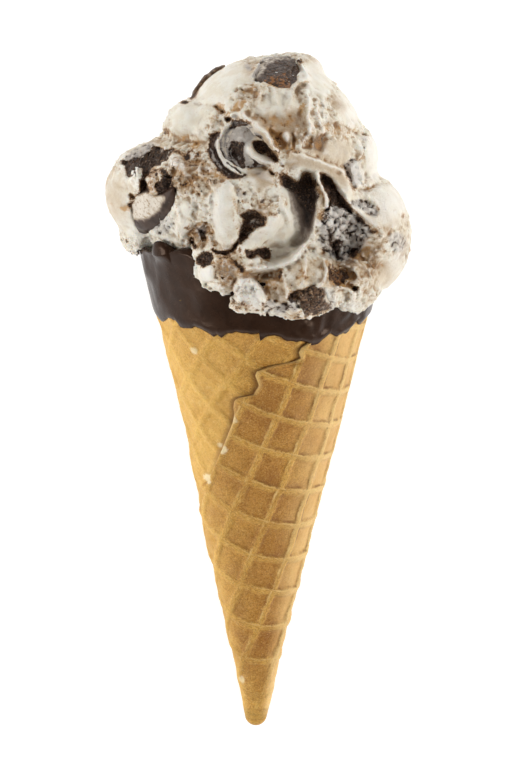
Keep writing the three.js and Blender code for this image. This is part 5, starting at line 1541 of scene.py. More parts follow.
SHEET = 1.6
BRIGHT = ((222, 448.5, 7.5, 0.9), (216, 446, 4.5, 0.6), (206, 480, 8, 0.9), (201, 477, 4, 0.6), (233, 420, 6, 0.5), (191, 351, 6, 0.6),
          (241, 680, 6, 0.6))
N_COL, ROW = 436, 0.665


def waffle(s, psi):
    """Height of the wafer's relief and how far a point lies in a cell."""
    w = sstep(rad(120), rad(260), psi)
    th = psi * SB
    x, y = s * np.cos(th), s * np.sin(th)
    wob = 0.05 * vnoise(x / 16, y / 16, x * 0, 401) + 0.018 * vnoise(x / 4, y / 4, x * 0, 402)
    wob2 = 0.05 * vnoise(x / 16, y / 16, x * 0 + 5, 403) + 0.018 * vnoise(x / 4, y / 4, x * 0 + 5, 404)
    u = -2.7287 + 0.0330 * x - 0.0857 * y + 0.38 * w + wob
    f = 1 - w
    v = (12.2482 - 0.0799 * x - 0.0269 * y) * w + (12.1598 - 0.0786 * x - 0.0007 * y - 0.000262 * x * y) * f - 0.2 * w + wob2
    ju = 0.014 * vnoise(x / 2.3, y / 2.3, x * 0, 407)
    jv = 0.014 * vnoise(x / 2.3, y / 2.3, x * 0 + 5, 408)
    du = np.abs(u + ju - np.round(u)) * 10.9
    dv = np.abs(v + jv - np.round(v)) * 11.8
    near = np.minimum(du, dv)
    k = smin(du, dv, 0.9)
    outer = 1 - sstep(rad(150), rad(250), psi - seam_smooth(s))
    bar = sstep(2.25, 0.25, k)
    cell_id = _hash(np.floor(u + 0.0).astype(np.int64) + 50, np.floor(v).astype(np.int64) + 50, np.zeros(u.shape, np.int64), 405)
    fade = sstep(20, 42, s)
    side = sstep(-0.7, 0.5, wrap(psi))
    depth = 0.42 + (0.0 + 0.36 * side) * outer + 0.12 * vnoise(x / 12, y / 12, x * 0, 409)
    height = -depth * (1 - bar) * fade
    dome = np.clip((near - 1.9) / 3.4, 0, 1)
    height += 0.16 * dome * fade * (0.4 + cell_id)
    return height, fade * (0.42 + (0.10 + 0.33 * side) * outer), cell_id, u + ju, v + jv, fade * (0.35 + 0.65 * outer) * (0.3 + 0.7 * side)


def build_cone():
    s = np.arange(22.0, 172.0, ROW)
    t = np.linspace(0, 1, N_COL + 1)
    S, T = np.meshgrid(s, t, indexing="ij")
    jig = seam_phi(S) - seam_smooth(S)
    wgt = np.clip(1 - np.minimum(T, 1 - T) / 0.09, 0, 1)
    wgt = wgt * wgt * (3 - 2 * wgt)
    psi = seam_smooth(S) + jig * wgt + T * 2 * math.pi
    hgt, cell, cid, wu, wv, line = waffle(S, psi)
    under = sstep(0.5, 1.0, T) * sstep(18, 40, S)
    drop = -SHEET * under * (1 - 0.75 * sstep(149, 156, S)) * (0.45 + 0.55 * sstep(98, 118, S))
    # the flap's own edge: rounded over, slightly lifted in places
    arc = T * 2 * math.pi * S * SA
    edge = np.clip(1 - arc / 1.1, 0, 1)
    lift = 0.35 * vnoise(S / 7, S * 0, S * 0, 411) * np.clip(1 - arc / 9, 0, 1)
    roundoff = -0.75 * (1 - np.sqrt(np.clip(1 - edge ** 2, 0, 1)))
    P0 = on_cone(S * CA, psi, np.zeros(S.shape))
    n1 = fbm(P0[..., 0] / 2.2, P0[..., 1] / 2.2, P0[..., 2] / 2.2, 421, 3, 0.55)
    n2 = vnoise(P0[..., 0] / 9, P0[..., 1] / 9, P0[..., 2] / 9, 423)
    f1, f2, _ = cells(P0[..., 0] / 2.1, P0[..., 1] / 2.1, P0[..., 2] / 2.1, 431)
    pits = -0.22 * sstep(0.30, 0.12, f1) * sstep(0.1, 0.4, vnoise(P0[..., 0] / 5, P0[..., 1] / 5, P0[..., 2] / 5, 433))
    n3 = fbm(P0[..., 0] / 0.9, P0[..., 1] / 0.9, P0[..., 2] / 0.9, 439, 2)
    off = drop + hgt + lift + roundoff + 0.16 * n1 + 0.28 * n2 + 0.05 * n3 + pits
    P = on_cone(S * CA, psi, off)
    rows, cols = S.shape
    # rounded tip
    lat = np.radians(np.linspace(-90, -14, 12))[1:]
    tip = []
    for a in lat:
        ph = seam_smooth(22.0) + t * 2 * math.pi
        c, ax = math.cos(a) * TIP_R, math.sin(a) * TIP_R
        tip.append(TIPC + ax * AX + (c * np.sin(ph))[:, None] * E1 + (c * np.cos(ph))[:, None] * E2)
    tip = np.array(tip)
    # inside wall, from the rim down to where the filling hides it
    rim_s = np.array([171.5, 171.5, 150.0])
    ins = []
    for sv, o in zip(rim_s, (-0.6, -3.6, -3.6)):
        ins.append(on_cone(np.full(cols, sv * CA), seam_smooth(171.0) + t * 2 * math.pi, np.full(cols, o)))
    ins = np.array(ins)
    grid = np.concatenate([tip, P, ins])
    nr = len(grid)
    V = grid.reshape(-1, 3)
    # each row is a closed loop: the last column joins the first over the flap's edge
    i = np.arange(nr - 1)[:, None]
    j = np.arange(cols)[None]
    a, b = i * cols + j, i * cols + (j + 1) % cols
    c, d = a + cols, b + cols
    Q = np.stack([a, b, d, c], -1).reshape(-1, 4)
    pole = len(V)
    V = np.vstack([V, (TIPC - AX * TIP_R)[None], (APEX + AX * 150 * CA)[None]])
    jj = np.arange(cols)
    cap = np.stack([np.full(cols, pole), (jj + 1) % cols, jj, jj], -1)
    top = (nr - 1) * cols
    cap2 = np.stack([np.full(cols, pole + 1), top + jj, top + (jj + 1) % cols, top + (jj + 1) % cols], -1)
    tri = np.concatenate([Q[:, [0, 1, 2]], Q[:, [0, 2, 3]], cap[:, :3], cap2[:, :3]])
    cellm, um, vm, linem, right_tone_and_light_m, edge_highlight_m = [np.zeros(len(V), F) for _ in range(6)]
    idm = np.full(len(V), 0.5, F)
    lo, hi = len(tip) * cols, len(tip) * cols + rows * cols
    um[lo:hi] = wu.ravel(); vm[lo:hi] = wv.ravel(); idm[lo:hi] = cid.ravel()
    shown = sstep(100, 118, S) * 0.85 + 0.15               # lower down the flap lies close and hardly shows
    # paler rim along the flap's edge: a painted highlight
    edge_highlight_m[lo:hi] = (np.clip(1 - arc / 1.6, 0, 1) * (0.5 + 0.5 * sstep(-0.3, 0.3, vnoise(S / 5, S * 0, S * 0, 441))) * shown).ravel()
    left_tone_and_light_m = np.zeros(len(V), F); footm = np.zeros(len(V), F)
    ang = wrap(psi)                                       # paler towards both sides, browner in the middle: partly the wafer's own colour, partly painted side light
    inner = (T > 0.5).astype(F)
    left = inner * 0.95 * sstep(0.0, -0.60, ang) + (1 - inner) * 0.75 * sstep(-0.40, -1.2, ang)
    left = left * (0.88 + 0.12 * n2) * (1 - 0.5 * inner * sstep(134, 147, S) * sstep(-1.25, -0.8, ang))
    # how far round to the right, where the pale colour is partly painted side and rim light
    right = sstep(0.30, 1.05, ang)
    cellm[lo:hi] = (cell * (1 - 0.55 * inner * left) * (0.85 + 0.35 * n2)).ravel()
    line = line * (1 - 0.85 * left)
    right_tone_and_light_m[lo:hi] = right.ravel()
    spots = []
    Q0x, Q0y = to_px(P0[..., 0], P0[..., 1], P0[..., 2])
    for sx, sy, sr, sa in BRIGHT:
        best = np.argmin((Q0x - sx) ** 2 + (Q0y - sy) ** 2 + 1e6 * (np.cos(psi) < 0))
        spots.append([float(c) * 0.001 for c in P.reshape(-1, 3)[best] + SHIFT] + [sr * 0.00029, sa])
    left_tone_and_light_m[lo:hi] = np.clip(left + 0.12 * n1, 0, 1).ravel()
    # strength of the painted shadow and highlight lines along the cells
    linem[lo:hi] = (line * np.clip(arc / 2.0, 0, 1)).ravel()
    behind = np.clip(1 - (2 * math.pi * S * SA - arc) / 2.2, 0, 1) ** 0.7      # the line of shadow under the flap
    footm[lo:hi] = np.clip(0.9 * behind * shown, 0, 1).ravel()
    V[:, 2] = np.maximum(V[:, 2], 0.0)
    ob = make_object("wafer", V, tri, {"cell": cellm, "wu": um, "wv": vm, "line": linem, "cid": idm, "edge": edge_highlight_m, "left_tone_and_light": left_tone_and_light_m, "right_tone_and_light": right_tone_and_light_m,
                                         "shade": footm})
    decimate_to(ob, 198500)
    return ob, spots


cone, FLAKES = build_cone()
print("cone done", round(time.time() - T0, 1), "s")


# ============================================================= CHOCOLATE COAT ==
def knob(phi):
    d = wrap(phi + rad(52.0))
    return np.clip(1 - (d / rad(6.4)) ** 2, 0, 1) ** 0.6


def dip_edge(phi):
    deg = np.degrees(wrap(phi))
    line = np.array([(-180, 151), (-150, 149.5), (-120, 151), (-95, 150), (-78, 150.1), (-66.6, 150.2), (-59.5, 152), (-51.5, 152.1), (-48.5, 150.4), (-43, 150.9),
                     (-36.6, 151.8), (-29.6, 150.4), (-26, 149.5), (-23.6, 150.3), (-21.4, 149.6), (-17.7, 151.4), (-12.7, 151.6),
                     (-9.5, 151.1), (-4.3, 151.2), (-0.9, 152.0), (-0.4, 149.4), (3.7, 150.9), (7, 151), (10.9, 150.5), (14.4, 149.1),
                     (18.4, 148.6), (22.2, 148.9), (25.5, 148.4), (28.6, 147), (32.8, 147.2), (36.7, 148.5), (40.1, 149.8), (46, 148.2),
                     (48.7, 149), (55.3, 149.3), (57.0, 150.5), (58.6, 152.3), (61.0, 152.4), (67, 149.4), (74, 151.1), (90, 150), (115, 151.5), (135, 149),
                     (160, 150.5), (180, 151)])
    e = np.interp(deg, line[:, 0], line[:, 1])
    return e + 0.35 * vnoise(phi * 14, phi * 0, phi * 0, 501) + 0.12 * vnoise(phi * 26, phi * 0, phi * 0, 503)


def build_coat():
    n = 900
    phi = np.linspace(-math.pi, math.pi, n, endpoint=False)
    low = dip_edge(phi)
    top = rim_height(phi)
    kn = knob(phi)
    ker = np.hanning(61); ker /= ker.sum()
    soft_low = np.convolve(np.concatenate([low[-30:], low, low[:30]]), ker, mode="valid")
    rings = []
    prof = np.linspace(0, 1, 62)

    def ring(h, off):
        rings.append(on_cone(h, phi, off))
    ring(low + 0.6, np.full(n, -1.4))
    ring(low + 0.1, np.full(n, -0.5))
    for f in prof:
        h = low + (top + 0.4 - low) * f
        x, y, z = np.cos(phi) * 35, np.sin(phi) * 35, h
        edge = 1 - np.exp(-(h - low) / 0.55)
        bead = 0.26 * np.exp(-((h - soft_low - 1.6) / 1.6) ** 2)
        wave = 0.42 * vnoise(x / 8, y / 8, z / 8, 511) - 0.22 * np.abs(vnoise(x / 7, y / 7, z / 6, 512)) + 0.10 * vnoise(x / 3.6, y / 3.6, z / 3.6, 513)
        wave = wave + 0.42 * vnoise(x / 2.9, y / 2.9, z / 3.4, 514) * sstep(rad(6), rad(24), phi) * sstep(rad(80), rad(60), phi)
        run = 0.05 * vnoise(phi * 7 + 0.05 * h, h / 14, h * 0, 515) + 0.55 * np.exp(-((h - 164) / 3.5) ** 2) * np.exp(-(wrap(phi + rad(74)) / rad(7)) ** 2)
        taper = 0.35 + 0.65 * (1 - np.exp(-np.maximum(h - soft_low, 0) / (0.8 + 4.5 * sstep(rad(-20), rad(-75), phi) * sstep(rad(-150), rad(-100), phi))))
        kh = kn * 1.9 * np.exp(-((h - top - 0.9) / 2.2) ** 2)
        ring(h, -0.35 + edge * (0.85 + bead + wave + run) * taper + kh)
    for a in np.radians(np.linspace(12, 168, 12)):
        mid, half = -1.5, 2.15
        ring(top + 0.4 + np.sin(a) * (1.5 + 2.7 * kn + 0.5 * vnoise(np.cos(phi) * 7, np.sin(phi) * 7, phi * 0 + a, 517)),
             np.full(n, mid) + np.cos(a) * (half + 0.4 * vnoise(np.cos(phi) * 9, np.sin(phi) * 9, phi * 0 + a, 519)) + kn * 1.5)
    ring(top - 6, np.full(n, -3.9))
    ring(top - 6, np.full(n, -3.2))
    G = np.array(rings)
    nr = len(G)
    V = G.reshape(-1, 3)
    i = np.arange(nr)[:, None]
    j = np.arange(n)[None]
    a, b = i * n + j, i * n + (j + 1) % n
    c, d = ((i + 1) % nr) * n + j, ((i + 1) % nr) * n + (j + 1) % n
    Q = np.stack([a, b, d, c], -1).reshape(-1, 4)
    V[:, 2] = np.maximum(V[:, 2], 0.0)
    return make_object("chocolate_dip", V, Q)


coat = build_coat()
print("coat done", round(time.time() - T0, 1), "s")


# ================================================================ MATERIALS ===
def srgb(r, g, b):
    f = lambda c: c / 12.92 if c <= 0.04045 else ((c + 0.055) / 1.055) ** 2.4
    return (f(r / 255), f(g / 255), f(b / 255), 1.0)


class Mat:
    def __init__(self, name):
        self.m = bpy.data.materials.new(name)
        self.m.use_nodes = True
        self.t = self.m.node_tree
        self.t.nodes.clear()
        self.out = self.t.nodes.new("ShaderNodeOutputMaterial")
        self.p = self.t.nodes.new("ShaderNodeBsdfPrincipled")
        self.link(self.p.outputs[0], self.out.inputs["Surface"])
        self.obj = self.t.nodes.new("ShaderNodeTexCoord").outputs["Object"]

    def link(self, a, b):
        self.t.links.new(a, b)

    def put(self, v, sock):
        if hasattr(v, "links"):
            self.link(v, sock)
        else:
            sock.default_value = v

    def attr(self, name):
        n = self.t.nodes.new("ShaderNodeAttribute"); n.attribute_name = name
        return n.outputs["Fac"]

    def noise(self, scale, detail=3, rough=0.55, dist=0.0, vec=None):
        n = self.t.nodes.new("ShaderNodeTexNoise")
        self.link(vec or self.obj, n.inputs["Vector"])
        n.inputs["Scale"].default_value = scale; n.inputs["Detail"].default_value = detail
        n.inputs["Roughness"].default_value = rough; n.inputs["Distortion"].default_value = dist
        return n.outputs["Fac"]

    def warp(self, scale, amount, vec=None):
        """Coordinates pushed about by a noise, for ragged edges."""
        n = self.t.nodes.new("ShaderNodeTexNoise")
        self.link(vec or self.obj, n.inputs["Vector"])
        n.inputs["Scale"].default_value = scale; n.inputs["Detail"].default_value = 3
        s = self.t.nodes.new("ShaderNodeVectorMath"); s.operation = "SUBTRACT"
        self.link(n.outputs["Color"], s.inputs[0]); s.inputs[1].default_value = (0.5, 0.5, 0.5)
        k = self.t.nodes.new("ShaderNodeVectorMath"); k.operation = "SCALE"
        self.link(s.outputs[0], k.inputs[0]); k.inputs["Scale"].default_value = amount
        a = self.t.nodes.new("ShaderNodeVectorMath"); a.operation = "ADD"
        self.link(vec or self.obj, a.inputs[0]); self.link(k.outputs[0], a.inputs[1])
        return a.outputs[0]

    def voronoi(self, scale, feature="F1", vec=None, rand=1.0):
        n = self.t.nodes.new("ShaderNodeTexVoronoi"); n.feature = feature
        self.link(vec or self.obj, n.inputs["Vector"])
        n.inputs["Scale"].default_value = scale; n.inputs["Randomness"].default_value = rand
        return n.outputs["Distance"]

    def math(self, op, a, b=None, clamp=False):
        n = self.t.nodes.new("ShaderNodeMath"); n.operation = op; n.use_clamp = clamp
        self.put(a, n.inputs[0])
        if b is not None:
            self.put(b, n.inputs[1])
        return n.outputs[0]

    def step(self, v, lo, hi, to0=0.0, to1=1.0):
        n = self.t.nodes.new("ShaderNodeMapRange"); n.interpolation_type = "SMOOTHSTEP"
        self.put(v, n.inputs["Value"])
        n.inputs["From Min"].default_value = lo; n.inputs["From Max"].default_value = hi
        n.inputs["To Min"].default_value = to0; n.inputs["To Max"].default_value = to1
        return n.outputs["Result"]

    def smin(self, a, b, dist):
        n = self.t.nodes.new("ShaderNodeMath"); n.operation = "SMOOTH_MIN"
        self.put(a, n.inputs[0]); self.put(b, n.inputs[1]); n.inputs[2].default_value = dist
        return n.outputs[0]

    def xyz(self, x, y, z):
        n = self.t.nodes.new("ShaderNodeCombineXYZ")
        for v, i in zip((x, y, z), range(3)):
            self.put(v, n.inputs[i])
        return n.outputs[0]

    def mix(self, f, a, b, mode="MIX"):
        n = self.t.nodes.new("ShaderNodeMix"); n.data_type = "RGBA"; n.blend_type = mode
        self.put(f, n.inputs[0]); self.put(a, n.inputs[6]); self.put(b, n.inputs[7])
        return n.outputs[2]

    def bump(self, height, strength, dist_mm, normal=None):
        n = self.t.nodes.new("ShaderNodeBump")
        self.put(height, n.inputs["Height"]); n.inputs["Strength"].default_value = strength
        n.inputs["Distance"].default_value = dist_mm * 0.001
        if normal is not None:
            self.link(normal, n.inputs["Normal"])
        return n.outputs[0]

    def mapping(self, scale, rot=(0, 0, 0)):
        n = self.t.nodes.new("ShaderNodeMapping")
        self.link(self.obj, n.inputs["Vector"])
        n.inputs["Scale"].default_value = scale; n.inputs["Rotation"].default_value = rot
        return n.outputs[0]


# -- ice cream
m = Mat("ice_cream_look")
fine = m.noise(1750, 3, 0.6)
veryfine = m.noise(3600, 2, 0.6)
jit = m.math("MULTIPLY", m.math("MULTIPLY", m.math("SUBTRACT", fine, 0.5), 1.25), m.step(m.attr("rug"), 0.0, 1.0, 0.35, 1.0))
crest = m.attr("crest")
crease_stain_and_shade = m.step(crest, -0.05, -0.9)
tp = m.math("ADD", m.attr("tp"), jit)
col = m.mix(m.step(m.noise(260, 3, 0.55), 0.38, 0.66, 0.0, 0.6), srgb(234, 229, 216), srgb(219, 207, 184))
col = m.mix(m.step(tp, 0.06, 0.72, 0.0, 0.92), col, srgb(204, 186, 160))
col = m.mix(m.step(tp, 0.50, 1.20, 0.0, 0.85), col, srgb(171, 145, 115))
col = m.mix(m.step(tp, 1.0, 1.5, 0.0, 0.85), col, srgb(112, 92, 76))
col = m.mix(m.step(m.math("ADD", m.attr("ob"), jit), 0.25, 0.8, 0.0, 0.8), col, srgb(190, 144, 84))
# creases browner: painted crease shade, partly crumb stain
col = m.mix(m.math("MULTIPLY", crease_stain_and_shade, m.math("ADD", m.math("MULTIPLY", m.attr("tp"), 0.5), 0.34), True), col, srgb(146, 108, 70))
# crests lighter: painted highlight
col = m.mix(m.step(crest, 0.1, 1.0, 0.0, 0.5), col, srgb(240, 236, 227))
gy = m.math("ADD", m.attr("gy"), jit)
col = m.mix(m.step(gy, 0.2, 0.9, 0.0, 0.8), col, srgb(192, 186, 180))
col = m.mix(m.step(m.math("ADD", m.attr("gy"), m.math("MULTIPLY", m.math("SUBTRACT", m.noise(560, 3, 0.6, 0.8), 0.5), 1.5)), 0.55, 1.2, 0.0, 0.50), col, srgb(124, 112, 104))
# creases under grey film nearly black: painted shade
col = m.mix(m.math("MULTIPLY", m.math("MULTIPLY", crease_stain_and_shade, m.step(m.attr("gy"), 0.25, 0.7), True), 0.95), col, srgb(52, 43, 38))
# clean white cream, with painted highlights along crests and lips
col = m.mix(m.math("MULTIPLY", m.attr("white_and_highlight"), 0.8), col, srgb(238, 234, 226))
nn = m.math("ADD", m.noise(640, 5, 0.74), m.math("MULTIPLY", m.math("SUBTRACT", m.noise(230, 2, 0.5), 0.5), 0.45))
nn = m.math("ADD", nn, m.math("MULTIPLY", m.math("SUBTRACT", m.attr("sp"), 0.45), 0.16))
amt = m.step(m.attr("sp"), 0.02, 0.30)
halo, spot = m.step(nn, 0.555, 0.63), m.step(nn, 0.615, 0.665)
col = m.mix(m.math("MULTIPLY", m.math("MULTIPLY", halo, amt), 0.55, True), col, srgb(190, 148, 98))
col = m.mix(m.math("MULTIPLY", m.math("MULTIPLY", spot, amt), 0.92, True), col, srgb(70, 45, 30))
mid = m.math("SUBTRACT", m.noise(760, 4, 0.72), 0.5)
# the hollow's painted shade, darker in three steps towards near black
hollow_shade = m.math("ADD", m.attr("hollow_shade"), m.math("MULTIPLY", m.math("ADD", jit, mid), m.step(m.attr("hollow_shade"), 0.05, 0.5, 0.0, 0.55)))
col = m.mix(m.step(hollow_shade, 0.12, 0.42, 0.0, 0.92), col, srgb(152, 138, 124))
col = m.mix(m.step(hollow_shade, 0.36, 0.68, 0.0, 0.92), col, srgb(98, 83, 72))
col = m.mix(m.step(hollow_shade, 0.66, 1.0, 0.0, 0.95), col, srgb(38, 26, 19))
grain = m.voronoi(950)
dk = m.math("ADD", m.attr("dk"), m.math("ADD", m.math("MULTIPLY", jit, 1.2), m.math("MULTIPLY", m.math("SUBTRACT", veryfine, 0.5), 0.6)))
dk = m.math("ADD", dk, m.math("MULTIPLY", mid, m.step(m.attr("dk"), 0.08, 0.4, 0.0, 1.25)))
plain = m.math("SUBTRACT", 1.0, m.math("MAXIMUM", m.step(m.attr("hollow_shade"), 0.05, 0.3), m.step(m.attr("gy"), 0.2, 0.8, 0.0, 0.85)))
col = m.mix(m.math("MULTIPLY", m.step(dk, 0.12, 0.38, 0.0, 0.70), plain), col, srgb(184, 140, 88))
col = m.mix(m.step(dk, 0.34, 0.62, 0.0, 0.88), col, m.mix(plain, srgb(72, 57, 47), srgb(112, 76, 46)))
dark_c = m.mix(m.step(grain, 0.42, 0.16), srgb(36, 23, 15), srgb(78, 55, 38))
col = m.mix(m.step(dk, 0.55, 0.95, 0.0, 0.94), col, dark_c)
bit = m.math("MULTIPLY", m.step(m.noise(1250, 4, 0.75), 0.545, 0.62), m.step(dk, 0.4, 0.7), True)
col = m.mix(m.math("MULTIPLY", bit, 0.7), col, srgb(146, 116, 90))
bit = m.math("MULTIPLY", m.step(m.noise(800, 4, 0.75), 0.62, 0.69), m.step(dk, 0.4, 0.7), True)
col = m.mix(m.math("MULTIPLY", bit, 0.75), col, srgb(204, 186, 160))
m.link(col, m.p.inputs["Base Color"])
m.link(m.math("ADD", m.step(m.noise(420, 3, 0.6), 0.3, 0.7, 0.34, 0.54), m.step(dk, 0.3, 0.8, 0.0, 0.22)), m.p.inputs["Roughness"])
sss = m.step(dk, 0.2, 0.6, 0.30, 0.0)
m.link(sss, m.p.inputs["Subsurface Weight"])
m.p.inputs["Subsurface Radius"].default_value = (1.0, 0.75, 0.5)
m.p.inputs["Subsurface Scale"].default_value = 0.0011
m.p.inputs["IOR"].default_value = 1.36
b1 = m.bump(fine, 0.75, 0.48)
b1 = m.bump(veryfine, 0.5, 0.16, b1)
b1 = m.bump(m.math("MULTIPLY", grain, m.step(dk, 0.3, 0.7, 0.0, -1.0)), 0.8, 0.5, b1)
m.link(b1, m.p.inputs["Normal"])
M_ICE = m.m


def cookie_mat(name, lo, hi, film_c, gloss, film_gain=1.0, bits=0.5, ior=1.38, veil=0.6):
    m = Mat(name)
    g = m.noise(1000, 4, 0.7)
    g2 = m.noise(330, 3, 0.6)
    grain = m.voronoi(900)
    col = m.mix(m.step(g, 0.42, 0.62), srgb(*lo), srgb(*hi))
    col = m.mix(m.step(g2, 0.45, 0.7, 0.0, 0.5), col, srgb(*[c * 0.55 for c in lo]))
    col = m.mix(m.step(grain, 0.45, 0.15, 0.0, 0.4 * bits), col, srgb(*[c * 1.5 for c in hi]))
    rust = m.mix(m.step(m.noise(820, 4, 0.72), 0.46, 0.60), srgb(50, 28, 13), srgb(150, 96, 44))
    col = m.mix(m.step(m.attr("warm"), 0.2, 0.8, 0.0, 0.9), col, rust)
    col = m.mix(m.step(m.voronoi(1500), 0.24, 0.1, 0.0, bits), col, srgb(150, 122, 98))
    # crests lighter (painted highlight), creases near black (painted shade)
    cr = m.attr("crest")
    col = m.mix(m.step(cr, 0.0, 1.0, 0.0, 0.45), col, srgb(150, 124, 102))
    col = m.mix(m.step(cr, -0.1, -1.0, 0.0, 0.75), col, srgb(16, 10, 7))
    col = m.mix(m.step(m.noise(620, 4, 0.72, 0.5), 0.53, 0.66, 0.0, 0.75), col, srgb(*[c * 0.42 for c in lo]))
    col = m.mix(m.step(m.noise(900, 5, 0.75), 0.55, 0.61, 0.0, bits), col, srgb(136, 104, 76))
    col = m.mix(m.step(m.noise(1250, 4, 0.75), 0.63, 0.69, 0.0, min(1.0, 1.3 * bits)), col, srgb(198, 180, 154))
    fl = m.math("ADD", m.math("MULTIPLY", m.attr("film"), film_gain), m.math("MULTIPLY", m.math("MULTIPLY", m.math("SUBTRACT", m.noise(520, 5, 0.7, 0.9), 0.5), 1.5), m.step(m.attr("film"), -0.1, 0.45, veil, 1.0)))
    fl = m.math("ADD", fl, m.math("MULTIPLY", m.math("SUBTRACT", m.noise(1500, 3, 0.7), 0.5), 0.7))
    col = m.mix(m.step(fl, 0.25, 0.55, 0.0, 0.7), col, srgb(*film_c))
    col = m.mix(m.step(fl, 0.62, 0.95, 0.0, 0.85), col, srgb(216, 204, 186))
    m.link(col, m.p.inputs["Base Color"])
    m.link(m.math("SUBTRACT", m.step(g2, 0.3, 0.7, gloss - 0.12, gloss + 0.18), m.step(m.attr("warm"), 0.2, 0.8, 0.0, 0.06)), m.p.inputs["Roughness"])
    m.p.inputs["IOR"].default_value = ior
    m.p.inputs["Specular Tint"].default_value = (1.0, 0.82, 0.68, 1)
    b = m.bump(g, 0.7, 0.3)
    b = m.bump(grain, 0.5, -0.4, b)
    b = m.bump(m.noise(560, 4, 0.65), 0.6, 0.6, b)
    m.link(b, m.p.inputs["Normal"])
    return m.m


M_COOKIE = cookie_mat("cookie_look", (42, 28, 20), (90, 66, 49), (158, 142, 128), 0.50, 1.0, 0.85)
M_COOKIE_DARK = cookie_mat("cookie_dark_look", (27, 17, 11), (88, 62, 44), (140, 122, 106), 0.46, 0.5, 0.75, 1.30)
M_COOKIE_TOP = cookie_mat("cookie_top_look", (38, 25, 17), (80, 57, 42), (146, 132, 120), 0.27, 0.85, 0.25, 1.34, 0.3)
M_COOKIE_RIM = cookie_mat("cookie_rim_look", (38, 26, 20), (78, 58, 47), (176, 170, 165), 0.34, 0.95, 0.2)
M_COOKIE_LEFT = cookie_mat("cookie_left_look", (27, 17, 11), (66, 46, 33), (128, 113, 102), 0.55, 0.8, 0.25, 1.24)

# -- crumbs
m = Mat("crumb_look")
g = m.noise(600, 3, 0.6)
ocol = m.mix(m.step(m.noise(160, 2), 0.35, 0.65), srgb(40, 27, 20), srgb(96, 64, 42))
m.link(m.mix(m.step(g, 0.3, 0.7), ocol, srgb(60, 41, 29)), m.p.inputs["Base Color"])
m.p.inputs["Roughness"].default_value = 0.55
m.link(m.bump(m.noise(2500, 3), 0.5, 0.1), m.p.inputs["Normal"])
M_CRUMB = m.m

# -- chocolate
m = Mat("chocolate_look")
g = m.noise(260, 4, 0.6)
col = m.mix(m.step(g, 0.3, 0.7), srgb(38, 23, 15), srgb(49, 31, 21))
bloom = m.step(m.noise(75, 4, 0.6, 0.8), 0.52, 0.75)
col = m.mix(m.math("MULTIPLY", bloom, 0.4), col, srgb(60, 42, 32))
dots = m.step(m.voronoi(620), 0.09, 0.05)
col = m.mix(m.math("MULTIPLY", dots, 0.5), col, srgb(96, 72, 54))
m.link(col, m.p.inputs["Base Color"])
m.link(m.step(m.noise(120, 3, 0.6), 0.3, 0.7, 0.19, 0.34), m.p.inputs["Roughness"])
m.p.inputs["IOR"].default_value = 1.28
m.p.inputs["Specular Tint"].default_value = (1.0, 0.70, 0.52, 1)
b = m.bump(m.noise(420, 4, 0.6), 0.3, 0.22)
b = m.bump(m.noise(2600, 2, 0.5), 0.3, 0.05, b)
m.link(b, m.p.inputs["Normal"])
M_CHOC = m.m

m = Mat("chocolate_disc_look")
g = m.noise(300, 4, 0.6)
col = m.mix(m.step(g, 0.3, 0.7), srgb(44, 31, 25), srgb(66, 48, 39))
fl = m.math("ADD", m.attr("film"), m.math("MULTIPLY", m.math("SUBTRACT", m.noise(420, 5, 0.65, 0.9), 0.5), 0.9))
col = m.mix(m.step(fl, 0.10, 0.50, 0.0, 0.75), col, srgb(124, 106, 94))
col = m.mix(m.step(fl, 0.35, 0.72, 0.0, 0.9), col, srgb(196, 180, 158))
col = m.mix(m.step(fl, 0.62, 1.0, 0.0, 0.9), col, srgb(229, 220, 206))
col = m.mix(m.math("MULTIPLY", m.step(m.noise(900, 4, 0.7), 0.52, 0.62), m.step(fl, 0.4, 0.8)), col, srgb(178, 154, 124))
m.link(col, m.p.inputs["Base Color"])
m.link(m.step(m.noise(160, 3, 0.6), 0.3, 0.7, 0.26, 0.40), m.p.inputs["Roughness"])
m.p.inputs["IOR"].default_value = 1.32
m.p.inputs["Specular Tint"].default_value = (1.0, 0.80, 0.64, 1)
b = m.bump(m.math("MULTIPLY", m.noise(900, 4, 0.65), m.step(fl, 0.4, 0.9, 0.1, 1.0)), 0.8, 0.6)
m.link(b, m.p.inputs["Normal"])
M_DISC = m.m

# -- wafer
m = Mat("wafer_look")
cellf, cid, edge_highlight, left_tone_and_light, right_tone_and_light, shade, line = [m.attr(k) for k in ("cell", "cid", "edge", "left_tone_and_light", "right_tone_and_light", "shade", "line")]
n1, n2, n3, n4 = m.noise(75, 4, 0.6), m.noise(300, 5, 0.65), m.noise(1500, 4, 0.7), m.noise(900, 3, 0.6)
sway = m.math("ADD", m.math("MULTIPLY", m.math("SUBTRACT", n4, 0.5), 0.055), m.math("MULTIPLY", m.math("SUBTRACT", n3, 0.5), 0.045))
U, V = m.math("ADD", m.attr("wu"), sway), m.math("SUBTRACT", m.attr("wv"), sway)
du = m.math("MULTIPLY", m.math("PINGPONG", U, 0.5), 10.9)
dv = m.math("MULTIPLY", m.math("PINGPONG", V, 0.5), 11.8)
k = m.math("ADD", m.smin(du, dv, 0.9), m.math("ADD", m.math("MULTIPLY", m.math("SUBTRACT", m.noise(420, 3, 0.6), 0.5), 1.3), m.math("MULTIPLY", m.math("SUBTRACT", n3, 0.5), 1.1)))
well = m.step(k, 0.35, 1.80)                             # 1 inside a cell, 0 on the bars
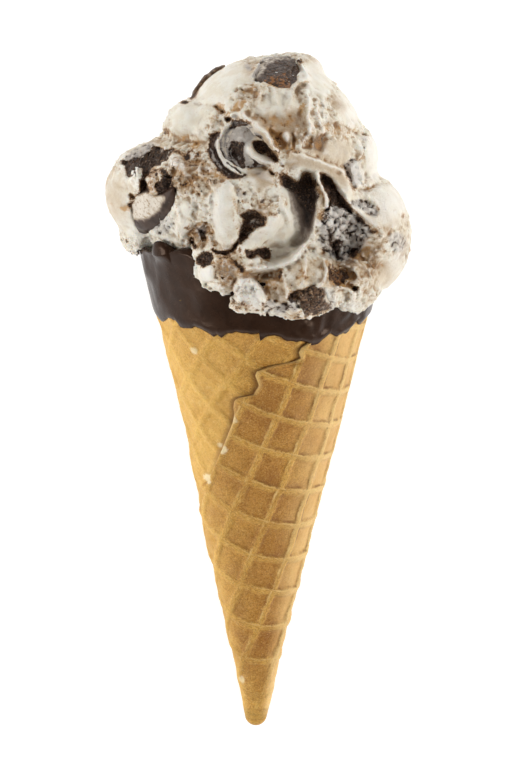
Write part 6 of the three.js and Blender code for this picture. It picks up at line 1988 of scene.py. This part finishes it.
# dark lines at the cells' edges are painted shadow, light lines along the bars painted highlight
eu = m.math("MULTIPLY", m.math("SUBTRACT", 1.0, m.math("FRACT", U)), 10.9)
ev = m.math("MULTIPLY", m.math("SUBTRACT", 1.0, m.math("FRACT", V)), 11.8)
edge = m.math("MINIMUM", eu, ev)
inside = m.step(k, 0.55, 1.05)
cell_shadow_line = m.math("MULTIPLY", m.math("MULTIPLY", m.step(edge, 0.85, 1.30), m.step(edge, 2.3, 1.35), True), inside)
fr2 = m.math("MULTIPLY", m.math("FRACT", U), 10.9)
cell_shadow_line2 = m.math("MULTIPLY", m.math("MULTIPLY", m.step(fr2, 0.95, 1.25), m.step(fr2, 1.75, 1.3), True), inside)
cell_shadow_line = m.math("MULTIPLY", m.math("MULTIPLY", m.math("MAXIMUM", cell_shadow_line, m.math("MULTIPLY", cell_shadow_line2, 0.8)), line), m.step(m.noise(190, 3, 0.6), 0.40, 0.62))
bar_highlight_line = m.math("MULTIPLY", m.math("MULTIPLY", m.step(fr2, 0.25, 0.62), m.step(fr2, 1.15, 0.70), True), m.math("MULTIPLY", line, m.step(m.noise(240, 3, 0.6), 0.38, 0.62)))
bar_highlight_line = m.math("MAXIMUM", bar_highlight_line, m.math("MULTIPLY", m.math("MULTIPLY", m.step(ev, 0.35, 0.60), m.step(ev, 1.0, 0.66), True), m.math("MULTIPLY", line, 0.7)))
upright = m.step(m.math("SUBTRACT", du, dv), 0.2, -0.2)  # the nearer bar runs up the cone
fib_a = m.noise(1.0, 3, 0.6, vec=m.xyz(m.math("MULTIPLY", U, 58.0), m.math("MULTIPLY", V, 7.0), 0.0))
fib_b = m.noise(1.0, 3, 0.6, vec=m.xyz(m.math("MULTIPLY", U, 7.0), m.math("MULTIPLY", V, 58.0), 3.0))
fib = m.math("ADD", m.math("MULTIPLY", fib_a, upright), m.math("MULTIPLY", fib_b, m.math("SUBTRACT", 1.0, upright)))
bar_c = m.mix(m.step(n2, 0.3, 0.7), srgb(206, 150, 60), srgb(230, 180, 86))
bar_c = m.mix(m.step(fib, 0.50, 0.62, 0.0, 0.75), bar_c, srgb(240, 202, 120))
bar_c = m.mix(m.math("MULTIPLY", m.step(fib, 0.48, 0.36, 0.0, 0.70), m.step(left_tone_and_light, 0.0, 0.8, 1.0, 0.2)), bar_c, srgb(160, 104, 36))
cell_c = m.mix(m.step(n2, 0.28, 0.72), srgb(150, 92, 27), srgb(182, 122, 44))
cell_c = m.mix(m.math("MULTIPLY", m.step(cid, 0.2, 0.9), 0.4), cell_c, srgb(146, 88, 27))
# each cell darker towards one corner: painted shade
slope = m.math("ADD", m.math("MULTIPLY", m.math("FRACT", U), 0.5), m.math("MULTIPLY", m.math("FRACT", V), 0.5))
cell_c = m.mix(m.step(slope, 0.25, 0.85, 0.0, 0.50), cell_c, srgb(132, 78, 22))
cell_c = m.mix(m.step(k, 2.2, 4.6, 0.0, 0.16), cell_c, srgb(206, 152, 76))
brownf = m.math("MULTIPLY", m.math("MULTIPLY", cellf, well), m.step(n1, 0.1, 0.55, 0.45, 1.0), True)
col = m.mix(brownf, bar_c, cell_c)
col = m.mix(m.step(m.noise(42, 3, 0.55), 0.46, 0.72, 0.0, 0.30), col, srgb(150, 94, 35))
col = m.mix(m.step(m.noise(60, 3, 0.6), 0.55, 0.78, 0.0, 0.35), col, srgb(222, 180, 98))
col = m.mix(m.math("MULTIPLY", m.step(m.noise(150, 5, 0.68), 0.47, 0.62, 0.0, 0.55), m.math("ADD", 0.35, m.math("MULTIPLY", brownf, 0.65))), col, srgb(140, 88, 32))
col = m.mix(m.math("MULTIPLY", m.step(m.noise(170, 5, 0.68, 0.3), 0.52, 0.68, 0.0, 0.55), m.math("ADD", 0.35, m.math("MULTIPLY", brownf, 0.65))), col, srgb(214, 160, 84))
grainy = m.math("ADD", 0.40, m.math("MULTIPLY", brownf, 0.55))
col = m.mix(m.math("MULTIPLY", m.step(n3, 0.46, 0.66), m.math("MULTIPLY", grainy, 0.85)), col, srgb(130, 78, 25))
col = m.mix(m.math("MULTIPLY", m.step(m.noise(2600, 3, 0.7), 0.48, 0.66), m.math("MULTIPLY", grainy, 0.70)), col, srgb(116, 68, 22))
col = m.mix(m.step(m.noise(2000, 3, 0.7), 0.53, 0.68, 0.0, 0.38), col, srgb(238, 198, 118))
fleck = m.math("MULTIPLY", m.step(m.voronoi(1300), 0.22, 0.1), m.step(m.noise(300, 2), 0.45, 0.65), True)
col = m.mix(m.math("MULTIPLY", fleck, 0.45), col, srgb(122, 74, 32))
# pale gold on the left side: partly the wafer's own colour, partly painted side light
gold = m.mix(m.math("MULTIPLY", brownf, 0.9), srgb(238, 194, 104), srgb(214, 158, 74))
gold = m.mix(m.step(n3, 0.46, 0.66, 0.0, 0.50), gold, srgb(208, 152, 68))
gold = m.mix(m.step(m.noise(120, 5, 0.68), 0.47, 0.62, 0.0, 0.60), gold, srgb(204, 152, 68))
gold = m.mix(m.step(m.noise(700, 4, 0.7), 0.52, 0.64, 0.0, 0.45), gold, srgb(246, 212, 134))
col = m.mix(m.math("MULTIPLY", left_tone_and_light, 0.80), col, gold)
# pale colour on the right side: partly the wafer's own colour, partly painted side and rim light
pale = m.mix(m.math("MULTIPLY", brownf, 0.9), srgb(242, 205, 138), srgb(208, 160, 92))
pale = m.mix(m.step(n3, 0.46, 0.66, 0.0, 0.45), pale, srgb(206, 154, 84))
col = m.mix(m.math("MULTIPLY", right_tone_and_light, 0.82), col, pale)
# painted highlight lines on the bars, painted shadow lines at the cells' edges
col = m.mix(m.math("MULTIPLY", bar_highlight_line, m.step(n2, 0.35, 0.6, 0.2, 0.75)), col, srgb(244, 212, 144))
col = m.mix(m.math("MULTIPLY", cell_shadow_line, m.step(n2, 0.3, 0.6, 0.35, 0.75)), col, srgb(118, 70, 24))
col = m.mix(m.math("MULTIPLY", shade, 0.8), col, srgb(104, 62, 26))
# the flap's edge paler: painted highlight
col = m.mix(m.math("MULTIPLY", edge_highlight, 0.6), col, srgb(240, 206, 138))
chips = m.math("MULTIPLY", m.math("SUBTRACT", m.noise(560, 4, 0.7), 0.5), 1.5)
for fx, fy, fz, fr, fa in FLAKES:                        # pale chips along the outer sheet's edge
    n = m.t.nodes.new("ShaderNodeVectorMath"); n.operation = "DISTANCE"
    m.link(m.obj, n.inputs[0]); n.inputs[1].default_value = (fx, fy, fz)
    f = m.math("ADD", m.math("SUBTRACT", 1.0, m.math("MULTIPLY", n.outputs["Value"], 1.0 / fr)), chips)
    col = m.mix(m.step(m.math("MULTIPLY", f, m.step(n.outputs["Value"], 2.2 * fr, 1.2 * fr)), 0.0, 0.55, 0.0, 0.85 * fa), col, srgb(252, 236, 194))
m.link(col, m.p.inputs["Base Color"])
m.link(m.step(n2, 0.3, 0.7, 0.50, 0.72), m.p.inputs["Roughness"])
m.p.inputs["IOR"].default_value = 1.36
m.p.inputs["Subsurface Weight"].default_value = 0.12
m.p.inputs["Subsurface Radius"].default_value = (1.0, 0.55, 0.25)
m.p.inputs["Subsurface Scale"].default_value = 0.0008
b = m.bump(m.math("MULTIPLY", well, m.math("MULTIPLY", cellf, -1.0)), 0.50, 0.62)
b = m.bump(m.math("MULTIPLY", fib, m.math("MULTIPLY", m.math("SUBTRACT", 1.15, well), m.step(left_tone_and_light, 0.0, 0.8, 1.0, 0.35))), 0.8, 0.45, b)
b = m.bump(n3, 0.8, 0.22, b)
b = m.bump(n2, 0.5, 0.3, b)
pit = m.math("MULTIPLY", m.step(m.voronoi(620), 0.30, 0.12), m.step(m.noise(200, 2), 0.48, 0.6), True)
b = m.bump(m.math("MULTIPLY", pit, -1.0), 0.3, 0.25, b)
m.link(b, m.p.inputs["Normal"])
M_WAFER = m.m

# =================================================================== DRESS ====
ice.data.materials.append(M_ICE)
cone.data.materials.append(M_WAFER)
coat.data.materials.append(M_CHOC)
crumbs.data.materials.append(M_CRUMB)
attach(ice, "root"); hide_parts("ice_cream")
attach(cone, "root"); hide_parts("waffle_cone")
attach(coat, "root"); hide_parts("chocolate_coat")
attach(crumbs, "root")
LOOK = {"cookie_chunk_top": M_COOKIE_TOP, "cookie_disc_centre": M_COOKIE_RIM, "cookie_chunk_mid": M_COOKIE_DARK,
        "chocolate_disc_left": M_DISC, "cookie_chunk_left": M_COOKIE_LEFT}
for name, ob in piece_obs.items():
    ob.data.materials.append(LOOK.get(name, M_COOKIE))
    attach(ob, "root"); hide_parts(name)

# =================================================================== STAGE ====
me = bpy.data.meshes.new("floor")
s = 2.2
me.from_pydata([(-s, -s, -0.0002), (s, -s, -0.0002), (s, s, -0.0002), (-s, s, -0.0002)], [], [(0, 1, 2, 3)])
floor = bpy.data.objects.new("floor", me)
bpy.context.scene.collection.objects.link(floor)
m = Mat("floor_look")
m.link(m.mix(m.noise(9, 2), (0.38, 0.38, 0.38, 1), (0.40, 0.40, 0.40, 1)), m.p.inputs["Base Color"])
m.p.inputs["Roughness"].default_value = 0.8
m.p.inputs["Emission Color"].default_value = (1, 1, 1, 1)
m.p.inputs["Emission Strength"].default_value = 0.80
floor.data.materials.append(m.m)
floor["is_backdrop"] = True


def area_light(name, loc, target, size, power, color=(1, 1, 1), size_y=None):
    li = bpy.data.lights.new(name, "AREA")
    li.energy = power; li.color = color
    li.shape = "RECTANGLE"; li.size = size; li.size_y = size_y or size
    ob = bpy.data.objects.new(name, li)
    ob.location = loc
    d = np.array(target) - np.array(loc)
    from mathutils import Vector
    ob.rotation_euler = Vector(d).to_track_quat("-Z", "Y").to_euler()
    bpy.context.scene.collection.objects.link(ob)
    return ob


area_light("left", (-0.85, -0.20, 0.42), (0, -0.03, 0.04), 0.40, 5.0, (1.0, 0.995, 0.98), 0.5)
area_light("right", (0.85, -0.20, 0.38), (0, -0.03, 0.04), 0.40, 5.15, (1.0, 0.99, 0.97), 0.5)
area_light("top", (0.05, 0.95, 0.60), (0, 0.05, 0.05), 0.5, 3.2, (1.0, 1.0, 1.0), 0.4)
world = bpy.data.worlds.new("world")
bpy.context.scene.world = world
world.use_nodes = True
wt = world.node_tree
bg = wt.nodes["Background"]
tc = wt.nodes.new("ShaderNodeTexCoord")
sep = wt.nodes.new("ShaderNodeSeparateXYZ")
wt.links.new(tc.outputs["Generated"], sep.inputs[0])
mr = wt.nodes.new("ShaderNodeMapRange")
mr.interpolation_type = "SMOOTHSTEP"
wt.links.new(sep.outputs["Z"], mr.inputs["Value"])
mr.inputs["From Min"].default_value = 0.0
mr.inputs["From Max"].default_value = 0.95
mr.inputs["To Min"].default_value = 0.62
mr.inputs["To Max"].default_value = 0.30
wt.links.new(mr.outputs["Result"], bg.inputs["Strength"])
bg.inputs["Color"].default_value = (1.0, 1.0, 1.0, 1)

# =================================================================== CAMERA ===
cam = bpy.data.cameras.new("cam")
cam.sensor_width = 36.0
cam.sensor_fit = "AUTO"
cam.lens = 36.0 * (CAM_H - Z0) / (768.0 * SCALE)
cam.clip_start, cam.clip_end = 0.05, 20
cob = bpy.data.objects.new("cam", cam)
cob.location = (SHIFT[0] * 0.001, SHIFT[1] * 0.001, CAM_H * 0.001)
cob.rotation_euler = (0, 0, 0)
bpy.context.scene.collection.objects.link(cob)
bpy.context.scene.camera = cob
bpy.context.scene.view_settings.view_transform = "Standard"
bpy.context.scene.view_settings.look = "None"
bpy.context.scene.view_settings.exposure = 0.0

vis_box = [[float(v) for v in p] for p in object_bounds()]
print("box", cad_box, vis_box, "total", round(time.time() - T0, 1), "s")
